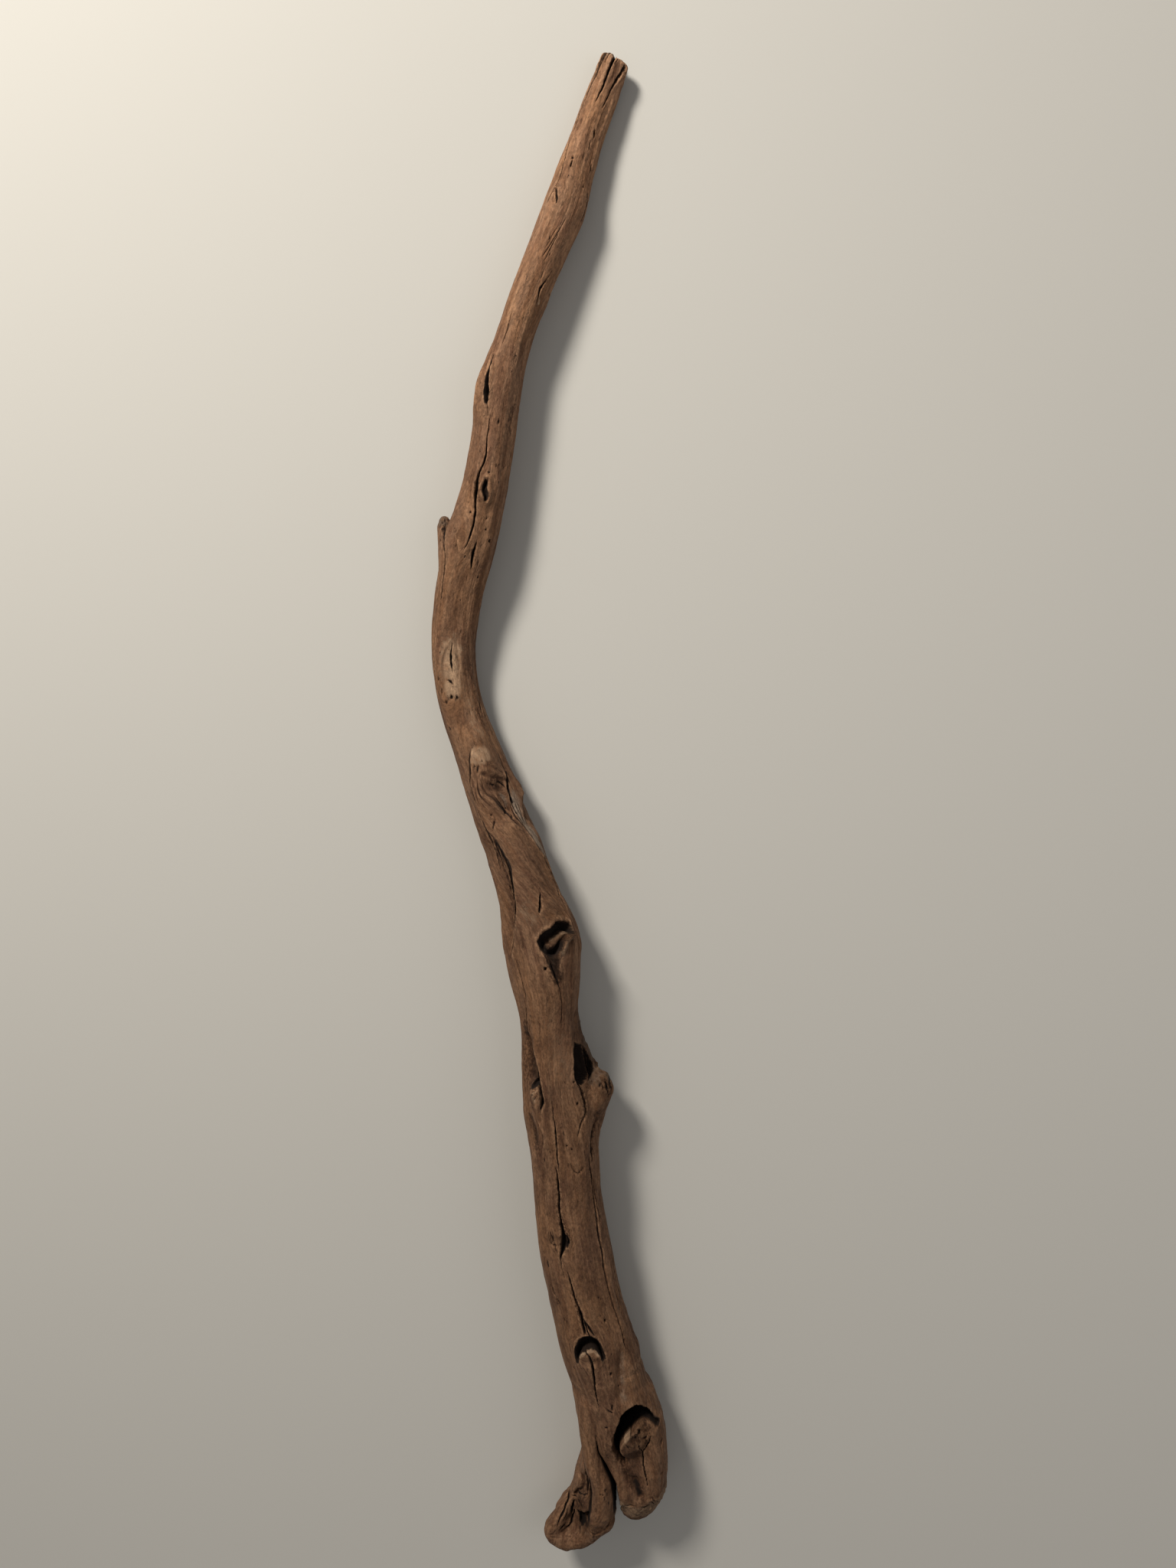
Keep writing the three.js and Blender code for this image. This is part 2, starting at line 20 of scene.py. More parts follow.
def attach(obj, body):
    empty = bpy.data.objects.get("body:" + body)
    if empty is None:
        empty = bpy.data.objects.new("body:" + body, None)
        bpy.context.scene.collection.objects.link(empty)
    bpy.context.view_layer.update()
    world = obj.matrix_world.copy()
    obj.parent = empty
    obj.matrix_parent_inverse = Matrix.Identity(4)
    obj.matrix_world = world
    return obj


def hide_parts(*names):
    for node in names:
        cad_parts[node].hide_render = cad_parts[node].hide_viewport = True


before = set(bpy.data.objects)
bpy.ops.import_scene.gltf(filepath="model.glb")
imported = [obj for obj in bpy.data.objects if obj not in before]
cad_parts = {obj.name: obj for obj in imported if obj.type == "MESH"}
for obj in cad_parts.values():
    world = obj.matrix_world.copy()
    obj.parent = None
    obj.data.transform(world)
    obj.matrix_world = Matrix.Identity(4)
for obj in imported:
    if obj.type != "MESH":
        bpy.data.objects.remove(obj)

log = logging.getLogger("driftwood")

MM = 0.001
ORIGIN_ACROSS = -37.6  # across and along of the scene's origin, in the wood's own millimetres
ORIGIN_ALONG = 864.2
DEGREE = math.pi / 180.0
FLAT_RADIUS = 180.0 / math.pi  # radius at which one degree is one millimetre, for plans
FAR = 40.0  # distance that stands for "nowhere near", in millimetres
BODY = "root"
FULL_STEP, QUICK_STEP = 1.15, 1.7  # spacing of the fields' samples, in millimetres
MOST_TRIANGLES = {"driftwood_stem": 192000, "driftwood_foot": 190000}
MOST_ON_BRANCH = 60000

Rows = Sequence[Sequence[float]]
Socket = bpy.types.NodeSocket


# Noise, curves and distances


class Lattice:
    """Smooth repeatable noise from a seeded table of random values."""

    def __init__(self, seed: int) -> None:
        """Draws the table.

        Args:
            seed: Number that fixes the noise.
        """
        draw = np.random.default_rng(seed)
        self.order = draw.permutation(256)
        self.values = draw.uniform(-1.0, 1.0, 256).astype(np.float32)

    def at(self, x: np.ndarray, y: np.ndarray, z: np.ndarray) -> np.ndarray:
        """Value between -1 and 1: the corner values of a unit cell, eased across it.

        Args:
            x: First coordinate.
            y: Second coordinate.
            z: Third coordinate.

        Returns:
            One value for each point.
        """
        cells = []
        eased = []
        for coordinate in np.broadcast_arrays(x, y, z):
            floor = np.floor(coordinate)
            part = (coordinate - floor).astype(np.float32)
            cells.append(floor.astype(np.int32))
            eased.append(part * part * (3.0 - 2.0 * part))
        total = np.zeros(eased[0].shape, np.float32)
        for corner in product((0, 1), repeat=3):
            index = np.zeros(eased[0].shape, np.int64)
            weight = np.ones(eased[0].shape, np.float32)
            for cell, ease, bit in zip(cells, eased, corner):
                index = self.order[(index + cell + bit) & 255]
                weight = weight * (ease if bit else 1.0 - ease)
            total += weight * self.values[index]
        return total

    def layered(self, x: np.ndarray, y: np.ndarray, z: np.ndarray, layers: int) -> np.ndarray:
        """Sum of layers of noise, each half as large and twice as fine as the one before.

        Args:
            x: First coordinate.
            y: Second coordinate.
            z: Third coordinate.
            layers: How many layers.

        Returns:
            One value for each point, mostly between -1 and 1.
        """
        total = 0.0
        for layer in range(layers):
            scale = 2.0**layer
            shift = 17.3 * layer
            total = total + self.at(x * scale + shift, y * scale, z * scale) / scale
        return total


@dataclass(frozen=True)
class Ripple:
    """Noise of one size: its amount, its sizes across and along the wood, its layers and a shift."""

    amount: float
    across: float
    along: float
    layers: int = 2
    shift: float = 0.0

    def over(self, noise: Lattice, depth: np.ndarray, side: np.ndarray, length: np.ndarray) -> np.ndarray:
        """Amount times the noise at each point, with the coordinates divided by the sizes."""
        first = depth / self.across + self.shift
        return self.amount * noise.layered(first, side / self.across, length / self.along, self.layers)


class Rail:
    """Smooth curve through rows of numbers, keyed by a rising value for each row."""

    def __init__(self, keys: Sequence[float], rows: Rows) -> None:
        """Works out a slope at each row from its two neighbours.

        Args:
            keys: Rising value for each row.
            rows: Numbers to carry along.
        """
        self.keys = np.asarray(keys, float)
        self.rows = np.asarray(rows, float)
        gap = np.diff(self.keys)[:, None]
        step = np.diff(self.rows, axis=0) / gap
        self.slopes = np.empty_like(self.rows)
        self.slopes[0] = step[0]
        self.slopes[-1] = step[-1]
        self.slopes[1:-1] = (gap[1:] * step[:-1] + gap[:-1] * step[1:]) / (gap[1:] + gap[:-1])

    def at(self, key: np.ndarray) -> np.ndarray:
        """Cubic Hermite value of every column.

        Args:
            key: Where to read the curve.

        Returns:
            One row for each key.
        """
        low = np.clip(np.searchsorted(self.keys, key, side="right") - 1, 0, len(self.keys) - 2)
        span = (self.keys[low + 1] - self.keys[low])[:, None]
        s = (np.asarray(key)[:, None] - self.keys[low][:, None]) / span
        start = self.rows[low] * (1 + 2 * s) * (1 - s) ** 2
        end = self.rows[low + 1] * s * s * (3 - 2 * s)
        bend = self.slopes[low] * s * (1 - s) ** 2 + self.slopes[low + 1] * s * s * (s - 1)
        return start + end + bend * span


def ease(low: float, high: float, value: np.ndarray) -> np.ndarray:
    """Smooth step from 0 at low to 1 at high."""
    t = np.clip((value - low) / (high - low), 0.0, 1.0)
    return t * t * (3.0 - 2.0 * t)


def turn_between(first: np.ndarray, second: np.ndarray) -> np.ndarray:
    """Turn from the first angle to the second in degrees, from -180 to 180."""
    return (second - first + 180.0) % 360.0 - 180.0


def unit(vectors: np.ndarray) -> np.ndarray:
    """Vectors scaled to length one."""
    return vectors / np.maximum(np.linalg.norm(vectors, axis=-1, keepdims=True), 1e-9)


def row_lengths(points: np.ndarray) -> np.ndarray:
    """Running length of a polyline at each of its points."""
    steps = np.linalg.norm(np.diff(points, axis=0), axis=1)
    return np.concatenate([[0.0], np.cumsum(steps)])


def smooth_path(path: Rows, step: float = 5.0) -> np.ndarray:
    """A path of along, across in degrees, and further values, resampled on a smooth curve.

    Args:
        path: Points picked by hand.
        step: Spacing of the new points, in millimetres.

    Returns:
        The new rows.
    """
    rows = np.array(path, float)
    if len(rows) == 1:
        return np.repeat(rows, 2, axis=0) + np.array([[0.0], [1e-3]]) * np.eye(rows.shape[1])[0]
    rows[:, 1] = np.degrees(np.unwrap(np.radians(rows[:, 1])))
    millimetres_per_degree = 0.55
    keys = row_lengths(rows[:, :2] * np.array([1.0, millimetres_per_degree]))
    count = max(2, int(round(keys[-1] / step)) + 1)
    return Rail(keys, rows).at(np.linspace(0.0, keys[-1], count))


@dataclass
class Skin:
    """Points on an unrolled surface, with the height and the finish gathered for them.

    along is in millimetres and across in degrees at the given radius. height is in
    millimetres, and the finish values run from 0 to 1. wobble shifts every path sideways, and
    ragged, from -1 to 1, makes the edges of splits and holes uneven.
    """

    along: np.ndarray
    across: np.ndarray
    radius: np.ndarray
    wobble: tuple[np.ndarray, np.ndarray]
    ragged: np.ndarray

    def __post_init__(self) -> None:
        """Starts height and every finish value at zero."""
        shape = self.along.shape
        self.height = np.zeros(shape, np.float32)
        self.tones = {tone: np.zeros(shape, np.float32) for tone in Tone}

    def window(self, path: np.ndarray, margin: float) -> np.ndarray:
        """Indices of the points within a margin of the path's box.

        Args:
            path: Rows that start with along and across.
            margin: Millimetres past the box.

        Returns:
            Indices into the flat arrays.
        """
        low, high = path[:, 0].min() - margin, path[:, 0].max() + margin
        rows = np.nonzero((self.along > low) & (self.along < high))[0]
        middle = (path[:, 1].min() + path[:, 1].max()) / 2
        half = (path[:, 1].max() - path[:, 1].min()) / 2
        room = half + margin / (self.radius[rows] * DEGREE)
        return rows[np.abs(turn_between(middle, self.across[rows])) < room]

    def follow(self, path: np.ndarray, rows: np.ndarray) -> tuple[np.ndarray, np.ndarray, np.ndarray]:
        """Nearest place on a path for each point of a window, measured on the surface.

        Args:
            path: Rows of along, across and further values.
            rows: Indices of the points.

        Returns:
            Distance, side (1 to the right of the path, -1 to the left) and the path's values.
        """
        along = self.along[rows] + self.wobble[0][rows]
        degree = self.radius[rows] * DEGREE
        across = self.across[rows] + self.wobble[1][rows] / degree
        nearest = np.full(len(rows), np.inf)
        side = np.ones(len(rows))
        values = np.zeros((len(rows), path.shape[1]))
        for start, end in zip(path[:-1], path[1:]):
            from_along = along - start[0]
            from_across = turn_between(start[1], across) * degree
            run_along = end[0] - start[0]
            run_across = (end[1] - start[1]) * degree
            length = run_along**2 + run_across**2 + 1e-9
            t = np.clip((from_along * run_along + from_across * run_across) / length, 0.0, 1.0)
            gap = (from_along - t * run_along) ** 2 + (from_across - t * run_across) ** 2
            closer = gap < nearest
            nearest[closer] = gap[closer]
            cross = run_along * from_across - run_across * from_along
            side[closer] = np.where(cross[closer] >= 0.0, 1.0, -1.0)
            values[closer] = start + t[closer, None] * (end - start)
        return np.sqrt(nearest), side, values

    def within(self, outline: np.ndarray, rows: np.ndarray) -> np.ndarray:
        """Distance into a closed outline, negative outside it.

        Args:
            outline: Rows of along and across.
            rows: Indices of the points.

        Returns:
            Signed distance in millimetres.
        """
        closed = np.vstack([outline, outline[:1]])
        distance, _, _ = self.follow(closed, rows)
        along = self.along[rows] + self.wobble[0][rows]
        degree = self.radius[rows] * DEGREE
        across = turn_between(outline[0, 1], self.across[rows] + self.wobble[1][rows] / degree)
        inside = np.zeros(len(rows), bool)
        for start, end in zip(closed[:-1], closed[1:]):
            first = start[1] - outline[0, 1]
            second = end[1] - outline[0, 1]
            spans = (start[0] > along) != (end[0] > along)
            rise = end[0] - start[0] if end[0] != start[0] else 1e-9
            crossing = first + (second - first) * (along - start[0]) / rise
            inside ^= spans & (across < crossing)
        return np.where(inside, distance, -distance)

    def raise_to(self, tone: "Tone", rows: np.ndarray, value: np.ndarray) -> None:
        """Lifts a finish value where the new one is larger."""
        self.tones[tone][rows] = np.maximum(self.tones[tone][rows], value)


class Tone(Enum):
    """Finishes and painted shade that change over the wood, each stored on the mesh under its value."""

    # painted shade in cracks, splits, pits and holes
    CRACK_SHADE = "crack"
    # painted shade in hollows and on the low side of folds
    HOLLOW_SHADE = "hollow"
    # pale wood, and in places a painted highlight
    PALE = "pale"
    GREY = "grey"
    # brown stains, and in places painted shade
    BROWN = "brown"
    ROUGH = "rough"


RAISED = "raised"  # mesh attribute: 0 deep in a dip, 0.5 on calm wood, 1 on a crest
CREST_PASSES = 20  # rounds of averaging that tell a crest from its surroundings
CREST_GAIN = 0.55  # change of the raised value for each millimetre
THIN_END = (0.9, 1.0)  # width and depth of a crack where its path gives none


# Forms that shape the skin


@dataclass(frozen=True)
class Swell:
    """A soft bump along a path, or a hollow where the height is negative."""

    path: Rows
    reach: float
    height: float
    to_the_edge: bool = False

    def press(self, skin: Skin, weight: np.ndarray | float = 1.0) -> None:
        """Adds height times exp(-(distance / reach) squared).

        Args:
            skin: Points to shape.
            weight: Factor for each point, or one for all, unless the swell acts to the edge.
        """
        path = smooth_path(self.path)
        rows = skin.window(path, self.reach * 2.4)
        distance, _, _ = skin.follow(path, rows)
        factor = 1.0 if self.to_the_edge or isinstance(weight, float) else weight[rows]
        bump = np.exp(-((distance / self.reach) ** 2))
        skin.height[rows] += self.height * bump * factor
        # A hollow gets painted shade, darker the deeper it is.
        if self.height < 0.0:
            skin.raise_to(Tone.HOLLOW_SHADE, rows, bump * min(1.0, -self.height / 9.0))


@dataclass(frozen=True)
class Crack:
    """A split whose path rows are along, across, width and depth, or the first two at a thin end."""

    path: Rows
    lip: float = 0.25

    def press(self, skin: Skin) -> None:
        """Sinks a steep-walled trough, depth times (1 - t to the power 2.5), with a raised lip.

        Args:
            skin: Points to shape.
        """
        path = smooth_path([(*row, *THIN_END)[:4] for row in self.path])
        rows = skin.window(path, path[:, 2].max() / 2 + 8.0)
        distance, _, values = skin.follow(path, rows)
        half = np.maximum(values[:, 2] / 2, 0.5) * (1.0 + 0.25 * skin.ragged[rows])
        depth = np.maximum(values[:, 3], 0.0)
        t = np.clip(distance / half, 0.0, 1.0)
        skin.height[rows] -= depth * (1.0 - t**2.5)
        lip = np.exp(-(((distance - half - 1.2) / 2.2) ** 2))
        skin.height[rows] += self.lip * np.minimum(half, 3.0) * lip
        # Painted shade: the trough is painted dark, more so the deeper it is; beside a deep crack runs a
        # brown rim, partly stain and partly painted shade.
        dark = (1.0 - ease(0.5, 1.25, distance / half)) * ease(0.2, 2.8, depth)
        skin.raise_to(Tone.CRACK_SHADE, rows, dark)
        stain_and_shade = np.exp(-(((distance - half) / 3.5) ** 2)) * ease(2.0, 9.0, depth) * 0.75
        skin.raise_to(Tone.BROWN, rows, stain_and_shade)


@dataclass(frozen=True)
class Ledge:
    """A fold: the wood to the right of the path stands higher, by the path's third value.

    A negative third value raises the left side instead. fall is how far back the high side
    eases down again, drop is the width of the step, and seam is how dark the painted shade in the seam is.
    """

    path: Rows
    fall: float
    drop: float = 1.8
    seam: float = 0.8

    def press(self, skin: Skin) -> None:
        """Adds the step, sinks a seam at its foot, and paints shade into the seam and along the low side.

        Args:
            skin: Points to shape.
        """
        path = smooth_path(self.path)
        rows = skin.window(path, self.fall * 2.2)
        distance, side, values = skin.follow(path, rows)
        height = values[:, 2]
        signed = distance * side * np.sign(height)
        lift = ease(-self.drop / 2, self.drop / 2, signed) * np.exp(-((distance / self.fall) ** 2))
        skin.height[rows] += np.abs(height) * lift
        seam = np.exp(-(((signed + self.drop * 0.6) / (self.drop * 0.8)) ** 2))
        seam *= ease(0.3, 3.0, np.abs(height))
        skin.height[rows] -= seam * np.minimum(np.abs(height) * 0.35, 2.0)
        # Painted shade in the seam.
        skin.raise_to(Tone.CRACK_SHADE, rows, seam * self.seam)
        # Painted shade on the low side of the fold.
        shade = np.exp(-((distance / (self.fall * 0.5)) ** 2)) * (signed < 0.0)
        skin.raise_to(Tone.HOLLOW_SHADE, rows, shade * 0.6)


@dataclass(frozen=True)
class Cavity:
    """A hole with an outline, a depth and walls that drop over a width.

    dark is how dark the painted shade in the hole is, and shade is how far outside the edge it starts, in
    millimetres.
    """

    outline: Rows
    depth: float
    wall: float = 3.0
    dark: float = 1.0
    lip: float = 0.6
    shade: float = 1.0

    def press(self, skin: Skin) -> None:
        """Sinks the inside by the depth, with a crisp edge and a low raised lip.

        Args:
            skin: Points to shape.
        """
        outline = smooth_path([*self.outline, self.outline[0]], 3.0)[:-1, :2]
        rows = skin.window(outline, 10.0)
        inward = skin.within(outline, rows) + 0.6 * skin.ragged[rows]
        sunk = ease(-0.4, self.wall, inward)
        skin.height[rows] -= self.depth * sunk
        skin.height[rows] += self.lip * np.exp(-(((inward + 2.0) / 2.2) ** 2))
        # Painted shade inside the hole, from a little outside its edge, and a brown rim round it.
        skin.raise_to(Tone.CRACK_SHADE, rows, self.dark * ease(-self.shade, 1.5 - self.shade, inward))
        skin.raise_to(Tone.BROWN, rows, 0.5 * np.exp(-((inward / 4.0) ** 2)))


@dataclass(frozen=True)
class Pit:
    """A small hole or short slit, longer along the wood than across it."""

    along: float
    across: float
    length: float
    width: float
    depth: float
    lean: float = 0.0

    def press(self, skin: Skin) -> None:
        """Sinks an oval with steep sides.

        Args:
            skin: Points to shape.
        """
        path = np.array([[self.along, self.across], [self.along + 1.0, self.across]])
        rows = skin.window(path, self.length + 3.0)
        from_along = skin.along[rows] + skin.wobble[0][rows] * 0.5 - self.along
        degree = skin.radius[rows] * DEGREE
        from_across = turn_between(self.across, skin.across[rows]) * degree + skin.wobble[1][rows] * 0.5
        from_across = from_across - from_along * self.lean
        reach = np.hypot(from_along / (self.length / 2), from_across / (self.width / 2))
        reach = reach * (1.0 + 0.45 * skin.ragged[rows])
        skin.height[rows] -= self.depth * (1.0 - np.clip(reach, 0.0, 1.0) ** 2)
        # Painted shade in the hole, darker the deeper it is, with brown round it.
        dark = min(1.0, 0.35 + self.depth / 6.0)
        skin.raise_to(Tone.CRACK_SHADE, rows, dark * (1.0 - ease(0.25, 1.05, reach)))
        skin.raise_to(Tone.BROWN, rows, 0.8 * np.exp(-((reach / 1.3) ** 2)))


@dataclass(frozen=True)
class Patch:
    """Colour only: a tone laid along a path, fading over its reach, or wiped off if negative."""

    path: Rows
    reach: float
    tone: Tone
    amount: float

    def press(self, skin: Skin) -> None:
        """Lays the tone, broken up by the skin's own wobble.

        Args:
            skin: Points to colour.
        """
        path = smooth_path(self.path)
        rows = skin.window(path, self.reach * 2.2)
        distance, _, _ = skin.follow(path, rows)
        share = self.amount * np.exp(-((distance / self.reach) ** 2)) * (1.0 + 0.3 * skin.ragged[rows])
        if self.amount < 0.0:
            skin.tones[self.tone][rows] *= 1.0 + np.maximum(share, -1.0)
        else:
            skin.raise_to(self.tone, rows, share)


Form = Swell | Crack | Ledge | Cavity | Pit | Patch


def pits(*rows: Sequence[float]) -> list[Pit]:
    """Pits from rows of along, across, length, width, depth and, where it isn't 0, lean."""
    return [Pit(*row) for row in rows]


def tint(tone: Tone) -> Callable[..., Patch]:
    """A call that lays one tone along a path, over a reach, by an amount that is 1 unless given."""
    return lambda path, reach, amount=1.0: Patch(path, reach, tone, amount)


# The brown tint lays stains, and in places painted shade; the pale tint lays pale wood, and in places a
# painted highlight; the crack and hollow tints lay painted shade.
stain_and_shade, bleach_and_highlight, silver = tint(Tone.BROWN), tint(Tone.PALE), tint(Tone.GREY)
paint_crack_shade, crumble, paint_hollow_shade = tint(Tone.CRACK_SHADE), tint(Tone.ROUGH), tint(Tone.HOLLOW_SHADE)


@dataclass(frozen=True)
class Knot:
    """A place that the grain runs round: along, across, radius and how much longer than wide."""

    along: float
    across: float
    radius: float
    stretch: float = 1.6


def seen_from_above(
    noise: Lattice, along: np.ndarray, across: np.ndarray, sway: Sequence[float], tear: Sequence[float],
    forms: Sequence[Form],
) -> Skin:
    """Flat skin, where a degree is a millimetre, with forms pressed in.

    Args:
        noise: What makes it uneven.
        along: Flat array of places along, in millimetres.
        across: Flat array of places across, in millimetres.
        sway: Amount, size, shift and layers of the noise that moves the paths.
        tear: Size and shift of the noise that makes edges ragged.
        forms: What to press in.

    Returns:
        The skin with its heights and tones.
    """
    still = 0.0 * along
    amount, size, shift, layers = sway
    wobble = tuple(
        amount * noise.layered(along / size + move, across / size, still, layers) for move in (0, shift)
    )
    ragged = noise.layered(along / tear[0] + tear[1], across / tear[0], still, 2)
    skin = Skin(along, across, np.full(along.shape, FLAT_RADIUS), wobble, ragged)
    for form in forms:
        form.press(skin)
    return skin


def columns_of(x: np.ndarray, y: np.ndarray) -> tuple[np.ndarray, np.ndarray]:
    """Across and along of every upright column of a block, as flat arrays."""
    across, along = np.broadcast_arrays(x[:, :, 0], y[:, :, 0])
    return across.reshape(-1), along.reshape(-1)


# Solid fields and the surfaces drawn round them


class Voxels:
    """A block of sample points for a field that is negative inside the wood."""

    def __init__(self, low: Sequence[float], high: Sequence[float], step: float) -> None:
        """Lays out the samples.

        Args:
            low: Lowest corner in millimetres.
            high: Highest corner in millimetres.
            step: Spacing in millimetres.
        """
        self.step = step
        self.axes = [np.arange(a, b + step, step, dtype=np.float32) for a, b in zip(low, high)]
        self.shape = tuple(len(axis) for axis in self.axes)

    def empty(self) -> np.ndarray:
        """A field with nothing in it."""
        return np.full(self.shape, FAR, np.float32)

    def window(self, low: np.ndarray, high: np.ndarray) -> tuple[tuple, list[np.ndarray]]:
        """Part of the block between two corners.

        Args:
            low: Lowest corner.
            high: Highest corner.

        Returns:
            Slices of the block, and the coordinates in it, ready to combine.
        """
        slices = []
        coordinates = []
        for axis, (values, a, b) in enumerate(zip(self.axes, low, high)):
            first, last = np.searchsorted(values, [a, b])
            slices.append(slice(int(first), int(last)))
            shape = [1, 1, 1]
            shape[axis] = -1
            coordinates.append(values[int(first):int(last)].reshape(shape))
        return tuple(slices), coordinates

    def everywhere(self) -> list[np.ndarray]:
        """Coordinates of the whole block, ready to combine."""
        return [axis.reshape([-1 if i == k else 1 for i in range(3)]) for k, axis in enumerate(self.axes)]

    def near(self, field: np.ndarray, points: np.ndarray) -> np.ndarray:
        """A field's value at the sample nearest to each point."""
        index = [
            np.clip(np.rint((points[:, k] - axis[0]) / self.step).astype(int), 0, len(axis) - 1)
            for k, axis in enumerate(self.axes)
        ]
        return field[tuple(index)]


def oval_distance(parts: Sequence[np.ndarray], radii: Sequence) -> np.ndarray:
    """Distance to an oval, near enough close to its surface: k (k - 1) over the gradient's length.

    Args:
        parts: Offsets from its middle along its own axes.
        radii: Its radius along each axis.

    Returns:
        Distance, negative inside.
    """
    near = sum((p / r) ** 2 for p, r in zip(parts, radii))
    slope = sum((p / (r * r)) ** 2 for p, r in zip(parts, radii))
    near = np.sqrt(np.maximum(near, 1e-8))
    return near * (near - 1.0) / np.sqrt(np.maximum(slope, 1e-10))


def limb_field(voxels: Voxels, rows: Rows, step: float = 7.0) -> np.ndarray:
    """Field of a rounded limb through rows of across, along, height, half width, half depth.

    The limb is a chain of short oval sections, each set square to the smooth line through the
    rows, and the nearest of them gives the distance.

    Args:
        voxels: Where to sample.
        rows: Sections given.
        step: Length of the chain's links, in millimetres.

    Returns:
        The field.
    """
    table = np.array(rows, float)
    keys = row_lengths(table[:, :3])
    count = max(3, int(round(keys[-1] / step)) + 1)
    samples = Rail(keys, table).at(np.linspace(0.0, keys[-1], count))
    field = voxels.empty()
    for start, end in zip(samples[:-1], samples[1:]):
        run = end[:3] - start[:3]
        length = float(np.linalg.norm(run))
        tangent = run / length
        side = unit(np.cross(tangent, [0.0, 0.0, 1.0]))
        outward = np.cross(side, tangent)
        reach = max(start[3:].max(), end[3:].max()) + 16.0
        corners = np.stack([start[:3], end[:3]])
        slices, (x, y, z) = voxels.window(corners.min(0) - reach, corners.max(0) + reach)
        if min(len(x), y.shape[1], z.shape[2]) == 0:
            continue
        dx, dy, dz = x - start[0], y - start[1], z - start[2]
        t = np.clip((dx * tangent[0] + dy * tangent[1] + dz * tangent[2]) / length, 0.0, 1.0)
        dx, dy, dz = dx - t * run[0], dy - t * run[1], dz - t * run[2]
        width = start[3] + t * (end[3] - start[3])
        depth = start[4] + t * (end[4] - start[4])
        parts = (
            dx * side[0] + dy * side[1] + dz * side[2],
            dx * outward[0] + dy * outward[1] + dz * outward[2],
            dx * tangent[0] + dy * tangent[1] + dz * tangent[2],
        )
        distance = oval_distance(parts, (width, depth, np.minimum(width, depth)))
        field[slices] = np.minimum(field[slices], distance.astype(np.float32))
    return field


def merge(first: np.ndarray, second: np.ndarray, fillet: float) -> np.ndarray:
    """Union of two fields with a fillet between them."""
    overlap = np.maximum(fillet - np.abs(first - second), 0.0) / fillet
    return np.minimum(first, second) - overlap * overlap * fillet / 4.0


def carve(body: np.ndarray, cutter: np.ndarray, rounding: float) -> np.ndarray:
    """Body less cutter, with the edge rounded over."""
    return -merge(-body, cutter, rounding)


def surface_net(voxels: Voxels, field: np.ndarray) -> tuple[np.ndarray, np.ndarray]:
    """Closed surface of quads round a field's inside.

    Every cell that the surface passes through gets one vertex, at the mean of the places where
    the cell's edges cross it, and every sample edge that crosses gets a face between its four
    cells.

    Args:
        voxels: The sample points.
        field: Negative inside.

    Returns:
        Vertices in millimetres and faces of four indices.
    """
    inside = field < 0.0
    nx, ny, nz = field.shape
    corners = list(product((0, 1), repeat=3))
    count = sum(
        inside[i:nx - 1 + i, j:ny - 1 + j, k:nz - 1 + k].astype(np.int8) for i, j, k in corners
    )
    active = (count > 0) & (count < 8)
    cell = np.stack(np.nonzero(active), axis=-1)
    numbers = np.full(active.shape, -1, np.int64)
    numbers[active] = np.arange(len(cell))
    total = np.zeros((len(cell), 3))
    hits = np.zeros(len(cell))
    for first in corners:
        for axis in range(3):
            if first[axis]:
                continue
            second = tuple(1 if a == axis else c for a, c in enumerate(first))
            low = field[tuple((cell + first).T)]
            high = field[tuple((cell + second).T)]
            crosses = (low < 0.0) != (high < 0.0)
            part = np.where(crosses, low / np.where(crosses, low - high, 1.0), 0.0)
            place = np.array(first, float) + part[:, None] * (np.array(second) - np.array(first))
            total += place * crosses[:, None]
            hits += crosses
    origin = np.array([axis[0] for axis in voxels.axes], float)
    vertices = origin + voxels.step * (cell + total / hits[:, None])
    faces = []
    for axis in range(3):
        others = [a for a in range(3) if a != axis]
        low_cut = tuple(slice(0, -1) if a == axis else slice(1, -1) for a in range(3))
        high_cut = tuple(slice(1, None) if a == axis else slice(1, -1) for a in range(3))
        leaves = inside[low_cut] & ~inside[high_cut]
        enters = ~inside[low_cut] & inside[high_cut]
        for mask, flip in ((leaves, False), (enters, True)):
            base = np.stack(np.nonzero(mask), axis=-1)
            base[:, others] += 1
            ring = []
            for step_one, step_two in ((0, 0), (-1, 0), (-1, -1), (0, -1)):
                corner = base.copy()
                corner[:, others[0]] += step_one
                corner[:, others[1]] += step_two
                ring.append(numbers[tuple(corner.T)])
            quads = np.stack(ring, axis=-1)
            if flip != (axis == 1):
                quads = quads[:, ::-1]
            faces.append(quads)
    return vertices, np.concatenate(faces)


# Meshes


def to_scene(points: np.ndarray) -> np.ndarray:
    """Points in the wood's own millimetres as metres in the frame."""
    return (points - np.array([ORIGIN_ACROSS, ORIGIN_ALONG, 0.0])) * MM


